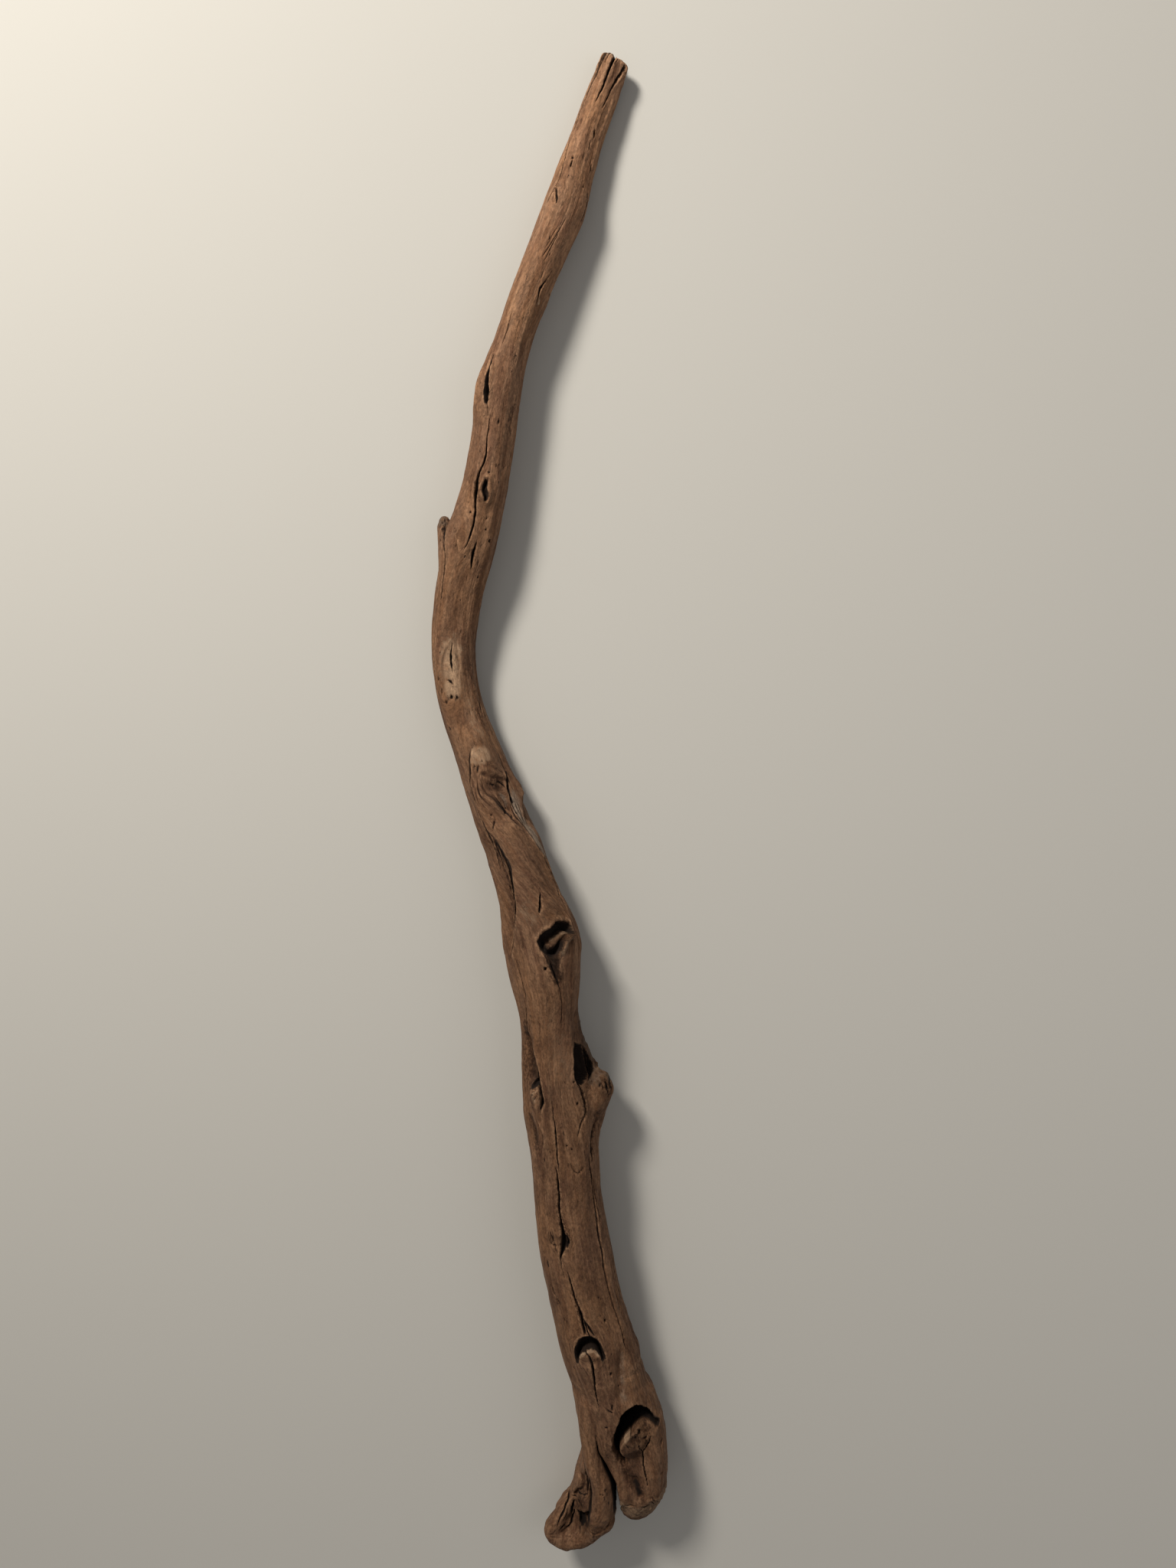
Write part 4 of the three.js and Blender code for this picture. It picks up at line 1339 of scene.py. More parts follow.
    Crack([(944, 0, 0.8, 0.5), (936, -5, 1.4, 1.2), (928, -4, 1.4, 1.2), (918, 6, 0.8, 0.5)], 0.5),
    Swell([(955, 14), (951, 30), (946, 42), (944, 56)], 1.6, -0.9),
    Swell([(949, 6), (944, 18), (941, 30), (938, 42), (936, 54)], 2, -1.4),
    Swell([(959, 8), (958, 22), (955, 36)], 1.5, -0.6),
    stain_and_shade([(955, 14), (951, 30), (946, 42), (944, 56)], 1.8, 0.6),
    stain_and_shade([(949, 6), (944, 18), (941, 30), (938, 42), (936, 54)], 2, 0.9),
    stain_and_shade([(959, 8), (958, 22), (955, 36)], 1.6, 0.4),
    Crack([(938, 4, 0.9, 0.8), (936, 14, 2.4, 2.2), (934, 22, 1.2, 1)], 0.4),
    Crack([(937, 30, 1.2, 1.2), (934, 40, 2.8, 2.8), (929, 47, 1.8, 1.6), (922, 44, 0.9, 0.8)], 0.4),
    stain_and_shade([(946, 8), (940, 24), (936, 42)], 6, 0.8),
    stain_and_shade([(934, 10), (931, 24), (928, 40)], 5),
    stain_and_shade([(925, 14), (914, 26), (905, 32)], 6, 0.6),
    silver([(922, 26), (912, 30)], 5, 0.6),
    # Painted highlight on the hood's top.
    bleach_and_highlight([(972, 6), (966, 2), (962, 14), (966, 26), (972, 22)], 8, 0.8),
    Ledge([(944, 0, 0.3), (937, -7, 0.8), (930, -8, 1.2), (921, 2, 1.8), (911, 11, 2.4), (901, 20, 2.4),
        (890, 28, 1.8), (882, 36, 0.6)], 7, 1.8, 0.9),
    Crack([(928, 4, 0.9, 0.6), (920, 9, 1.6, 1.4), (912, 16, 2, 2.4), (905, 21, 1.6, 2),
        (896, 28, 0.8, 0.8)], 0.4),
    stain_and_shade([(958, 20), (956, 28)], 3, 0.9),
    stain_and_shade([(962, 10), (960, 14)], 2.4, 0.8),
    *pits((955, -1, 7, 2.4, 3, 0.5), (960, -3, 3, 1.8, 2), (904, 17, 5, 3, 4, 0.6), (909, 23, 3, 2.4, 2.5),
        (895, -10, 10, 2, 3, 0.6), (906, -8, 3, 2, 2), (897, 28, 6, 3, 3.5, 0.5)),
    # Grey fissured wedge right of the hood
    Swell([(905, 99), (892, 96)], 12, -4.5, True),
    Swell([(940, -90), (900, -90)], 25, 2.5, True),
    Swell([(926, 94), (916, 88)], 8, 3, True),
    Ledge([(922, 96, 0.6), (915, 87, 2), (906, 77, 2.2), (897, 70, 1.6), (889, 66, 0.6)], 7, 1.4, 1),
    silver([(912, 56), (898, 54), (884, 58), (868, 66), (852, 76)], 8),
    silver([(918, 70), (905, 64)], 8, 0.7),
    Crack([(914, 47, 1.2, 1.5), (904, 46, 2.2, 4), (894, 46, 2.2, 4), (883, 49, 2.4, 4), (873, 54, 2.4, 4),
        (862, 59, 2.2, 3.5), (854, 63, 2, 3), (842, 74)], 0.5),
    Crack([(911, 58, 1, 1.5), (902, 57, 2, 3.5), (893, 57, 1.8, 3), (884, 60)], 0.6),
    Crack([(910, 40), (903, 38, 1.8, 3), (896, 38, 1.8, 3), (886, 44, 1.8, 3), (876, 50, 1.4, 2),
        (866, 56)], 0.5),
    Crack([(906, 66), (897, 63, 1.6, 2.5), (888, 62)], 0.5),
    Crack([(880, 66), (866, 74, 1.6, 2.5), (850, 84)], 0.4),
    # Arm of the twist, its edges and the deep groove on its left
    Ledge([(774, 84, -0.8), (801, 82, -1.6), (824, 80, -2.2), (840, 76, -2.4), (852, 64, -2.2),
        (863, 56, -2), (875, 50, -1.6), (888, 40, -0.8)], 11, 1.6, 0.8),
    Crack([(846, 66), (830, 74, 1.8, 2.5), (813, 76, 1.8, 2.5), (799, 73, 1.4, 2), (786, 74)], 0.4),
    Ledge([(742, -54, 0.8), (752, -49, 1.8), (764, -42, 2.6), (778, -34, 3.4), (790, -26, 3.8),
        (804, -17, 4), (820, -10, 4), (836, -6, 3.6), (850, -4, 3), (862, -7, 2.6), (872, -11, 2.2),
        (882, -17, 1.6), (892, -26, 0.5)], 17, 2, 1),
    Crack([(744, -56, 1.2, 2), (756, -51, 2.4, 5), (774, -42, 3, 7), (790, -33, 3.2, 7), (806, -23, 3.4, 6),
        (822, -16, 3.6, 5), (845, -11, 3.4, 5), (860, -13, 3, 5), (874, -18, 2.4, 4), (890, -28)], 0),
    Crack([(884, -24), (872, -22, 2, 3), (862, -22, 2.6, 3.5), (852, -25, 1.8, 2), (840, -28, 0.8, 0.8)],
        0.2),
    Swell([(866, -24), (850, -20), (826, -27), (800, -36), (776, -48)], 8, -2.4),
    # Painted shade in the groove left of the arm.
    stain_and_shade([(876, -24), (850, -19), (824, -25), (800, -34)], 7),
    paint_hollow_shade([(862, -30), (830, -32), (800, -42), (776, -52)], 9),
    *pits((824, -25, 9, 4.5, 4, 0.2), (815, -23, 7, 3.5, 3, 0.2), (838, -22, 7, 3, 3, 0.1)),
    Crack([(812, 31, 1, 1.5), (806, 27, 2.2, 4), (799, 23, 2.6, 5), (793, 19, 1.2, 2)]),
    Crack([(788, 50, 0.8, 0.5), (782, 41, 1.3, 1), (776, 38, 0.8, 0.5)]),
    bleach_and_highlight([(803, 0), (796, -3), (788, 6)], 12, 0.5),
    bleach_and_highlight([(788, 16), (782, 24)], 6, 0.35),
    stain_and_shade([(780, 0), (772, -8)], 3, 0.5),
    # Knot hole
    Swell([(757, 34)], 25, 2),
    Swell([(790, 90), (770, 92), (750, 92)], 14, 2.5, True),
    Cavity([(764, 3), (770, 10), (772, 20), (774, 30), (778, 42), (776, 54), (772, 64), (766, 67),
        (761, 56), (756, 45), (749, 36), (744, 29), (747, 16), (752, 8)], 15, 2.2, 0.85, 1),
    Swell([(755, 17), (758, 28), (761, 42), (763, 56)], 4.5, 10),
    Swell([(762, 24), (764, 36), (764, 56)], 1.6, 3),
    paint_crack_shade([(758, 20), (760, 34), (762, 50)], 4.5, -0.8),
    bleach_and_highlight([(762, 24), (764, 36), (764, 56)], 1.6),
    crumble([(757, 20), (759, 38), (762, 54)], 7),
    Crack([(768, 38, 1, 1.5), (768, 50, 1.6, 3), (766, 60, 1, 1.5)], 0.3),
    Cavity([(752, 8), (750, 24), (748, 38), (740, 34), (730, 28), (721, 24), (723, 20), (733, 15),
        (743, 10)], 3.5, 2.6, 0.55, 0.3),
    crumble([(742, 20), (724, 25)], 6),
    stain_and_shade([(750, 20), (736, 22), (724, 23)], 8, 1.4),
    silver([(746, 24), (736, 20)], 3, 0.5),
    Crack([(740, 16, 1.4, 2), (730, 20, 1.8, 2.5), (718, 25, 1.4, 2), (700, 30, 1.2, 1.5),
        (670, 30, 0.8, 0.8)]),
    Pit(734, 8, 3.6, 3.2, 5),
    Ledge([(772, 70, 1.4), (764, 66, 1.6), (757, 52, 1.4), (747, 38, 0.8)], 5, 1.6, 0),
    bleach_and_highlight([(774, 70), (764, 68), (756, 52), (746, 37)], 2.6, 0.8),
    # Waist: left hollow with its edge, small knot and cavity above the knob
    Swell([(648, -48), (626, -46), (608, -43)], 9, -8),
    Ledge([(562, -24, 0.6), (570, -22, 1.6), (580, -17, 2.6), (590, -17, 3.2), (600, -18, 3.6),
        (611, -19, 3.6), (624, -21, 3.4), (636, -28, 2.8), (646, -37, 2.2), (664, -42, 1.6),
        (682, -40, 1.2), (701, -34, 0.6)], 14, 1.8, 1),
    Crack([(570, -24, 1.4, 2), (576, -22, 2.6, 6), (584, -20.5, 3.4, 8), (596, -21.5, 4.6, 9),
        (606, -23, 4.6, 8), (618, -26, 3.8, 6), (630, -33, 2.6, 5), (646, -42, 2.2, 4),
        (666, -46, 1.8, 3.5), (690, -40, 1, 2)], 0),
    Cavity([(606, -24), (600, -24), (596, -29), (595, -36), (593, -42), (596, -47), (600, -43), (603, -37),
        (606, -30)], 7, 2.2, 1, 0),
    # Painted shade in the left hollow, darkest beside the bone's edge.
    stain_and_shade([(668, -47), (650, -50), (628, -50), (612, -46), (600, -46)], 10, 1.3),
    paint_crack_shade([(662, -46), (646, -49), (630, -50), (614, -48), (603, -45)], 7.5, 0.55),
    paint_crack_shade([(642, -42), (628, -40), (614, -36), (603, -32)], 6, 0.85),
    stain_and_shade([(640, -64), (605, -62), (590, -60)], 7, 0.7),
    Swell([(591, -35), (582, -31), (574, -32)], 6, 3.6),
    bleach_and_highlight([(594, -40), (588, -34), (580, -30)], 4, 0.6),
    bleach_and_highlight([(585, -39), (590, -32), (594, -26)], 1.3),
    bleach_and_highlight([(581, -36), (586, -30)], 1.1, 0.9),
    Crack([(583, -41), (588, -34, 1.6, 2.4), (592, -28)], 0.3),
    Crack([(580, -35), (584, -31, 1.4, 2), (589, -26)], 0.3),
    Crack([(588, -42), (593, -36, 1.2, 1.6), (596, -30)], 0.3),
    stain_and_shade([(582, -51), (576, -47), (570, -44)], 4, 0.9),
    Ledge([(503, -38, 0.4), (521, -32, 1), (533, -26, 2), (543, -24, 2.8), (551, -29, 2.6), (560, -35, 2),
        (570, -40, 0.8)], 11, 1.8, 0.8),
    Swell([(548, -50), (528, -46)], 10, -3),
    stain_and_shade([(556, -55), (546, -50), (536, -45), (524, -46)], 8, 1.15),
    crumble([(546, -48), (532, -46)], 6),
    *pits((542, -46, 6, 4, 3), (534, -50, 6, 3, 3)),
    Crack([(745, -40, 0.8, 0.8), (720, -38, 1.6, 2.5), (705, -35, 1.6, 2.5), (690, -35, 1, 2)]),
    Cavity([(641, 54), (632, 48), (621, 44), (606, 40), (596, 43), (592, 54), (593, 74), (600, 98),
        (612, 104), (628, 94), (638, 72)], 16, 3.5, 1, 0.3),
    Swell([(668, 78), (650, 72), (640, 70)], 8, -4, True),
    Ledge([(592, 44, -0.8), (603, 40, -2.2), (614, 41, -2.6), (632, 45, -2.6), (650, 49, -2),
        (668, 58, -0.8)], 14, 1.8, 0.6),
    # Painted highlight on the front of the waist.
    bleach_and_highlight([(652, 26), (632, 22), (608, 24)], 13, 0.42),
    bleach_and_highlight([(680, 4), (640, 6), (610, 10)], 12, 0.35),
    *pits((601, 36, 3, 2.6, 3), (573, 40, 3, 2.6, 3)),
    Crack([(604, 20, 0.8, 0.5), (600, 24, 1.4, 1), (597, 28, 0.8, 0.5)]),
    Crack([(594, 47, 2.2, 5), (588, 50, 3.8, 9), (578, 53, 4.4, 9), (568, 54, 4.4, 9), (560, 53, 3.6, 8),
        (554, 46, 2.6, 6), (546, 39, 2, 4), (536, 32)], 0.1),
    Swell([(560, 98), (542, 92), (530, 68), (515, 60)], 6, -3),
    stain_and_shade([(552, 96), (538, 80), (524, 64), (508, 58)], 5),
    Crack([(556, 94, 1.4, 2), (542, 84, 3, 4), (530, 68, 4.4, 4), (514, 58, 3.6, 3.5), (500, 55, 1.2, 2)]),
    Crack([(506, 49), (494, 50, 1.6, 3), (478, 53, 1.8, 3.5), (462, 55, 2, 4), (430, 56, 2.4, 4.5),
        (400, 55, 2.6, 5), (369, 53, 2.2, 4), (340, 54, 1.6, 3), (310, 56, 1.2, 2), (270, 56, 1.4, 2),
        (256, 55)], 0.2),
    Crack([(484, 56), (466, 59, 1.6, 3), (440, 62, 1.4, 2.5), (420, 62)], 0.2),
    Crack([(398, 76), (360, 76, 1.4, 2), (322, 79, 1.6, 2), (293, 86, 1.6, 2), (262, 90, 1.2, 1.5)], 0.2),
    Crack([(350, 66, 0.8, 0.8), (320, 68, 1.3, 1.6), (290, 72)]),
    Pit(449, 84, 9, 3, 4),
    # Central crack with its pit
    Crack([(582, -2, 0.8, 0.8), (565, -2, 1.3, 3), (552, -2, 1.6, 4), (536, -4, 2, 5), (520, -5, 1.6, 4),
        (506, -6, 1.6, 4), (498, -6, 1, 1.5)], 0.15),
    Crack([(503, -12), (494, -10, 1.8, 6), (482, -9, 2.6, 8), (466, -9, 2.7, 9), (451, -10, 2.7, 9),
        (436, -9, 3.4, 9), (424, -8, 4.6, 10), (414, -7, 7.5, 10), (406, -9, 7, 9), (400, -13, 4, 7),
        (392, -17, 1.8, 4), (380, -18, 1.2, 2), (369, -15)], 0.15),
    Crack([(420, -3), (413, 1, 3, 5), (406, -3, 3, 5)], 0.1),
    stain_and_shade([(430, -4), (414, 1), (404, -8)], 6, 0.9),
    crumble([(412, -8)], 9, 0.8),
    stain_and_shade([(420, -30), (410, -25), (402, -24)], 5, 0.9),
    crumble([(414, -26)], 7, 0.7),
    Crack([(420, -30, 0.8, 0.8), (412, -25, 1.8, 2), (404, -22, 0.8, 0.8)], 0.3),
    Crack([(412, -34, 0.8, 0.8), (407, -27, 1.8, 2), (406, -20, 0.8, 0.8)], 0.3),
    Crack([(378, -10), (363, -7, 2.2, 5), (344, -5, 2.8, 8), (322, -1, 3.2, 9), (311, -2, 3, 7),
        (302, -1, 2.6, 5)], 0.15),
    Crack([(322, 0, 0.9, 2), (313, 4, 1.6, 4), (305, 7, 2, 4), (297, 10, 1.4, 3)], 0.2),
    Crack([(330, -2), (318, 1, 1.4, 3), (306, 3, 1.6, 4), (298, 4, 1.2, 3)], 0.3),
    Crack([(357, -48), (352, -43, 2, 2.5), (346, -42, 1.4, 2), (340, -37, 2.2, 2.5), (334, -38)], 0.2),
    stain_and_shade([(356, -46), (344, -41), (334, -38)], 3.6, 0.9),
    *pits((318, -33, 7, 2.2, 3, 0.2), (307, 34, 3.2, 3, 4), (337, 32, 2, 1.8, 1.5)),
    stain_and_shade([(296, -31), (284, -35)], 3, 0.8),
    Crack([(506, 15, 0.8, 0.6), (497, 19, 1.3, 1.2), (493, 24, 1.4, 1.3), (495, 31, 1.3, 1.2),
        (500, 38, 0.8, 0.6)]),
    Crack([(530, 4, 0.7, 0.4), (527, 10, 1, 0.8), (526, 15, 0.7, 0.4)]),
    *pits((527, 13, 3.2, 2.4, 3), (522, 20, 3, 2.2, 2.5)),
    # Arch hollow with the stump of a branch inside it
    Cavity([(269, -26), (280, -24.5), (288, -20), (294, -14), (298, -7), (298, 1), (293, 9), (285, 14),
        (276, 17), (268, 16), (268, 13.5), (273, 12), (278, 9), (281.5, 4), (283, -3), (282.5, -10),
        (280, -16), (275, -20.5), (270, -22)], 16, 1.2, 1, 0.3, 2),
    Swell([(277, -14), (279, 0), (274, 8)], 5, 1.4),
    bleach_and_highlight([(276, -17), (279, -14), (280, -9)], 2, 1.35),
    bleach_and_highlight([(280.5, -4), (280, 1)], 2.4, 1.35),
    bleach_and_highlight([(278, 5), (274, 9)], 1.9, 1.3),
    silver([(278, -16), (280, -2), (276, 7)], 1.8, 0.4),
    stain_and_shade([(274, -16), (272, -8)], 3, 0.5),
    bleach_and_highlight([(270, 12.5)], 1.5, 1.3),
    crumble([(272, -14), (270, 0), (268, 8)], 4, 0.8),
    stain_and_shade([(273, 2), (268, 6)], 4, 0.5),
    Crack([(280, -13, 0.9, 0.8), (278, -9, 1.4, 2), (276, -6, 1, 1.2)], 0.2),
    Crack([(285, -6, 1.3, 3), (279, -6.5, 1.4, 3), (275, -4, 1.8, 4), (268, -3, 2.2, 6), (260, -3, 2.4, 7),
        (245, -7, 2.2, 6), (236, -10, 1.8, 5), (227, -12, 1.4, 4), (214, -14, 1.1, 2),
        (205, -15, 0.8, 0.8)], 0.15),
    Crack([(283, 3, 1, 1.4), (278, 4, 1.2, 1.6), (274, 8, 0.8, 0.8)], 0.3),
    Ledge([(258, 8, -0.4), (264, 14, -1.2), (274, 18, -1.4), (280, 19, -0.5)], 7, 1.8, 0.5),
    Ledge([(258, -14, 0.4), (266, -20, 1), (275, -25, 1.2), (282, -27, 0.5)], 7, 1.8, 0.5),
    *pits((257, -37, 7, 2.2, 2.5, -0.2), (245, 18, 3.6, 3, 3), (272, 57, 5, 2.6, 3, 0.3),
        (224, 26, 3, 2, 2), (204, 0, 9, 2.6, 4, -0.7), (207, 4, 5, 2.4, 3.5, 0.3)),
    silver([(257, 45), (224, 32), (207, 26)], 7, 0.45),
    Swell([(257, 45), (224, 30), (207, 24)], 8, -1.5),
    # The back
    Crack([(640, 150), (560, 158, 3.6, 8), (470, 150, 4.4, 9), (400, 160)]),
    Crack([(1040, 100), (980, 115, 3.4, 7), (900, 125)]),
    Crack([(1330, -150), (1250, -158, 2.6, 5), (1180, -152)]),
    Crack([(1500, 175), (1440, 168, 2.4, 4), (1380, 172)]),
    Crack([(390, -130), (330, -122, 2.8, 5), (262, -126)]),
    Cavity([(572, -139), (560, -146), (548, -138), (552, -126), (566, -125)], 5, 3.5, 0.7, 0.8),
    Pit(835, 162, 9, 5, 4, 0.2),
    silver([(560, -135)], 12, 0.6),
)


# The forked foot


@dataclass
class Foot:
    """The two roots: limbs joined to the stem's lower end, with hollows and folds cut in."""

    heel_body: Rows = (
        (34, 255, 47, 36, 36), (47, 215, 47, 38, 41), (57, 180, 45, 42.5, 42.5), (65, 155, 43, 42, 42),
        (73, 128, 41, 36.5, 41), (80, 104, 38, 32.5, 40.5), (82, 80, 36, 30.5, 39.5), (81, 65, 35, 29.5, 37),
        (76, 54.5, 36, 26.5, 32), (72, 50, 37, 21, 26),
    )
    heel_strand: Rows = (
        (34, 200, 61, 14, 26), (36, 165, 64, 12, 22), (43.5, 138, 65, 11.5, 18), (50, 122, 64.5, 11, 17),
        (56, 110, 64, 10.5, 16), (61.5, 95, 62, 10.5, 15), (64.5, 75, 59, 11, 16), (66, 58, 53, 9.5, 13),
    )
    heel_right: Rows = (
        (93, 166, 50, 12, 28), (98, 140, 50, 12, 28), (101, 108, 49, 12, 27), (100.5, 78, 47, 12, 23),
    )
    toe_strand: Rows = (
        (17, 255, 48, 14, 24), (18, 215, 54, 17, 30), (17.5, 170, 58, 14, 29), (20, 143, 62, 11.5, 24),
        (23.5, 125, 64, 10.5, 21), (28, 110, 65, 11.5, 20), (34, 95, 65, 13, 20), (37, 80, 64.5, 13.5, 19.5),
        (37.5, 66, 63, 14.5, 18.5), (36.5, 48, 60, 15.5, 17), (33, 34, 55, 15.5, 13),
    )
    toe_splay: Rows = (
        (20, 190, 40, 15, 33), (20, 150, 38, 13, 34), (21.5, 118, 36, 13, 33), (19.5, 96, 34, 14, 33),
        (18, 76, 31, 18, 32), (18, 54, 29, 22, 32), (14, 30, 27, 27, 28), (6, 12, 27, 31, 25),
        (2, 6, 28, 28, 20),
    )
    toe_rim: Rows = (
        (-4, 40, 42, 8, 9), (-16, 22, 45, 10, 12), (-24, 6, 46, 12, 13), (-12, -3, 48, 13, 13),
        (4, -2, 50, 12.5, 12), (19, 8, 52, 11.5, 12), (31, 21, 56, 10, 11), (40, 34, 59, 8, 9),
    )
    web: Rows = ((30, 150, 28, 11, 18), (35, 112, 26, 10, 16), (45, 88, 24, 9, 15), (51, 66, 22, 8, 12))
    heel_well: Rows = (
        (121, 62.5), (130, 56), (139, 51), (150, 48), (161, 48.5), (174, 52), (186, 55.5),
        (197, 60), (203, 68), (203, 76), (199, 83), (191, 90.5), (181, 97.5), (173, 103.5), (170, 101),
        (176, 94.5), (181, 88), (182, 82), (176, 74.5), (167, 67), (159, 61), (150, 57), (139, 59),
        (129, 63),
    )
    heel_well_floor: float = 34.0
    split: Rows = (
        (225, 28, -3), (185, 28, -2), (168, 28, -0.6), (156, 28.5, 0.6), (147, 29.5, 1.4), (134, 32, 2.4),
        (123, 36, 3.2), (112, 40.5, 4.2), (103, 45, 5.2), (93, 49.5, 5.6), (83, 52, 5.6), (66, 54, 6),
        (50, 55.5, 6.6), (38, 57, 9), (20, 58, 14), (-30, 58, 20),
    )
    gap_floor: float = 30.0
    toe_guide: Rows = (
        (-30, 40, 34), (30, 50, 34), (60, 60, 40), (110, 64, 46), (160, 54, 48), (200, 44.5, 48),
        (235, 32, 50),
    )
    heel_guide: Rows = (
        (-30, 66, 36), (60, 72, 38), (110, 68, 44), (160, 54, 48), (200, 44.5, 48), (235, 32, 50),
    )
    low: tuple[float, float, float] = (-46.0, -24.0, -2.5)
    high: tuple[float, float, float] = (121.0, 243.0, 104.0)
    join_start: float = 231.0
    join_end: float = 238.0
    blend_out: tuple[float, float] = (200.0, 230.0)
    seed: int = 23

    def __post_init__(self) -> None:
        """Sets up the noise."""
        self.noise = Lattice(self.seed)

    def plan(self, along: np.ndarray, across: np.ndarray) -> Skin:
        """The foot's top seen from above, with its folds, ribs and pits."""
        return seen_from_above(self.noise, along, across, (0.75, 8, 40, 3), (4, 80), FOOT_FORMS)

    def gate(self, height: np.ndarray) -> np.ndarray:
        """How far the plan's forms act at a height: fully on top, not at all low down."""
        return ease(26.0, 44.0, height)

    def build(self, stem: Stem, step: float) -> bpy.types.Object:
        """Builds the foot's mesh from its field.

        Args:
            stem: The stem that it grows from.
            step: Spacing of the field's samples, in millimetres.

        Returns:
            The object.
        """
        voxels = Voxels(self.low, self.high, step)
        x, y, z = voxels.everywhere()
        fillet = 12.0 * (1.0 - ease(*self.blend_out, y)) + 0.5
        inset = 7.0 * ease(*self.blend_out, y)
        body = self.stem_end(stem, voxels)
        heel = merge(limb_field(voxels, self.heel_body), limb_field(voxels, self.heel_strand), 7.0)
        heel = merge(heel, limb_field(voxels, self.heel_right), 10.0)
        toe = merge(limb_field(voxels, self.toe_strand), limb_field(voxels, self.toe_splay), 5.0)
        toe = merge(toe, limb_field(voxels, self.toe_rim), 9.0)
        body = merge(body, heel + inset, fillet)
        body = merge(body, toe + inset, fillet)
        body = merge(body, limb_field(voxels, self.web), 8.0)
        body = body + self.lumps(x, y, z)
        body = self.cut_well(voxels, body)
        body = self.cut_split(body, x, y, z)
        plan_x, plan_y = columns_of(x, y)
        plan = self.plan(plan_y, plan_x)
        height, rough = (a.reshape(len(x), -1, 1) for a in (plan.height, plan.tones[Tone.ROUGH]))
        crumbs = self.noise.layered(x / 4.2 + 5, y / 4.2, z / 4.2, 3)
        body = body - (height + 1.25 * rough * crumbs) * self.gate(z)
        body = body + stem.sink * ease(self.join_start, self.join_end, y)
        body = np.maximum(body, y - self.join_end)
        body = np.maximum(body, -z)
        points, quads = surface_net(voxels, body.astype(np.float32))
        points[:, 2] = np.maximum(points[:, 2], 0.0)
        piece = make_mesh("driftwood_foot", points, quads)
        tones, grain = self.finish(stem, points)
        store(piece, tones, grain)
        return piece

    def stem_end(self, stem: Stem, voxels: Voxels) -> np.ndarray:
        """Field of the stem's lower end over the block.

        Args:
            stem: The stem.
            voxels: The block.

        Returns:
            The field, with relief close to the skin.
        """
        field = voxels.empty()
        lowest = stem.skin_start - 42.0
        slices, (x, y, z) = voxels.window(np.array([-60.0, lowest, -5.0]), np.array([130.0, 250.0, 110.0]))
        grid = np.stack(np.broadcast_arrays(x, y, z), axis=-1).reshape(-1, 3)
        shape = field[slices].shape
        field[slices] = stem.field(grid, 8.0).reshape(shape).astype(np.float32)
        return field

    def lumps(self, x: np.ndarray, y: np.ndarray, z: np.ndarray) -> np.ndarray:
        """Uneven swelling and long flutes, none of it near the join with the stem."""
        away = 1.0 - ease(*self.blend_out, y)
        flutes = self.noise.layered(x / 8, z / 8, y / 90, 2)
        swell = self.noise.at(x / 30, y / 34, z / 30)
        dents = self.noise.layered(x / 9 + 9, y / 15, z / 9, 2)
        return away * (0.8 * flutes + 1.2 * swell + 0.5 * dents)

    def cut_well(self, voxels: Voxels, body: np.ndarray) -> np.ndarray:
        """Cuts the crescent-shaped well round the heel's knot.

        Args:
            voxels: The block.
            body: The field so far.

        Returns:
            The field with the well.
        """
        outline = smooth_path([*self.heel_well, self.heel_well[0]], 3.0)[:-1, :2]
        margin = 12.0
        low = np.array([*outline.min(0)[::-1], self.heel_well_floor]) - margin
        high = np.array([*outline.max(0)[::-1], self.high[2]]) + margin
        slices, (x, y, z) = voxels.window(low, high)
        plan_x, plan_y = columns_of(x, y)
        still = 0.0 * plan_x
        wobble = (
            0.9 * self.noise.layered(plan_x / 6, plan_y / 6, still, 2),
            0.9 * self.noise.layered(plan_x / 6 + 70, plan_y / 6, still, 2),
        )
        skin = Skin(plan_y, plan_x, np.full(plan_x.shape, FLAT_RADIUS), wobble, still)
        inward = skin.within(outline, np.arange(len(plan_x))).reshape(x.shape[0], y.shape[1], 1)
        narrowing = 0.10 * np.maximum(84.0 - z, 0.0)
        well = np.maximum(narrowing - inward - 1.0, self.heel_well_floor - z)
        result = body.copy()
        result[slices] = carve(body[slices], well.astype(np.float32), 2.2)
        return result

    def cut_split(self, body: np.ndarray, x: np.ndarray, y: np.ndarray, z: np.ndarray) -> np.ndarray:
        """Cuts the gap between the two roots, which closes towards the stem.

        Args:
            body: The field so far.
            x: Across.
            y: Along.
            z: Height.

        Returns:
            The field with the gap.
        """
        rows = np.array(self.split, float)[::-1]
        rail = Rail(rows[:, 0], rows[:, 1:])
        place = rail.at(y.ravel())
        middle = place[:, 0].reshape(y.shape) + 1.2 * self.noise.at(y / 14, z / 18, 0.0 * y)
        half = place[:, 1].reshape(y.shape) / 2
        gap = np.abs(x - middle) - half
        gap = np.maximum(gap, self.gap_floor * ease(46.0, 62.0, y) - z)
        return carve(body, gap, 2.5)

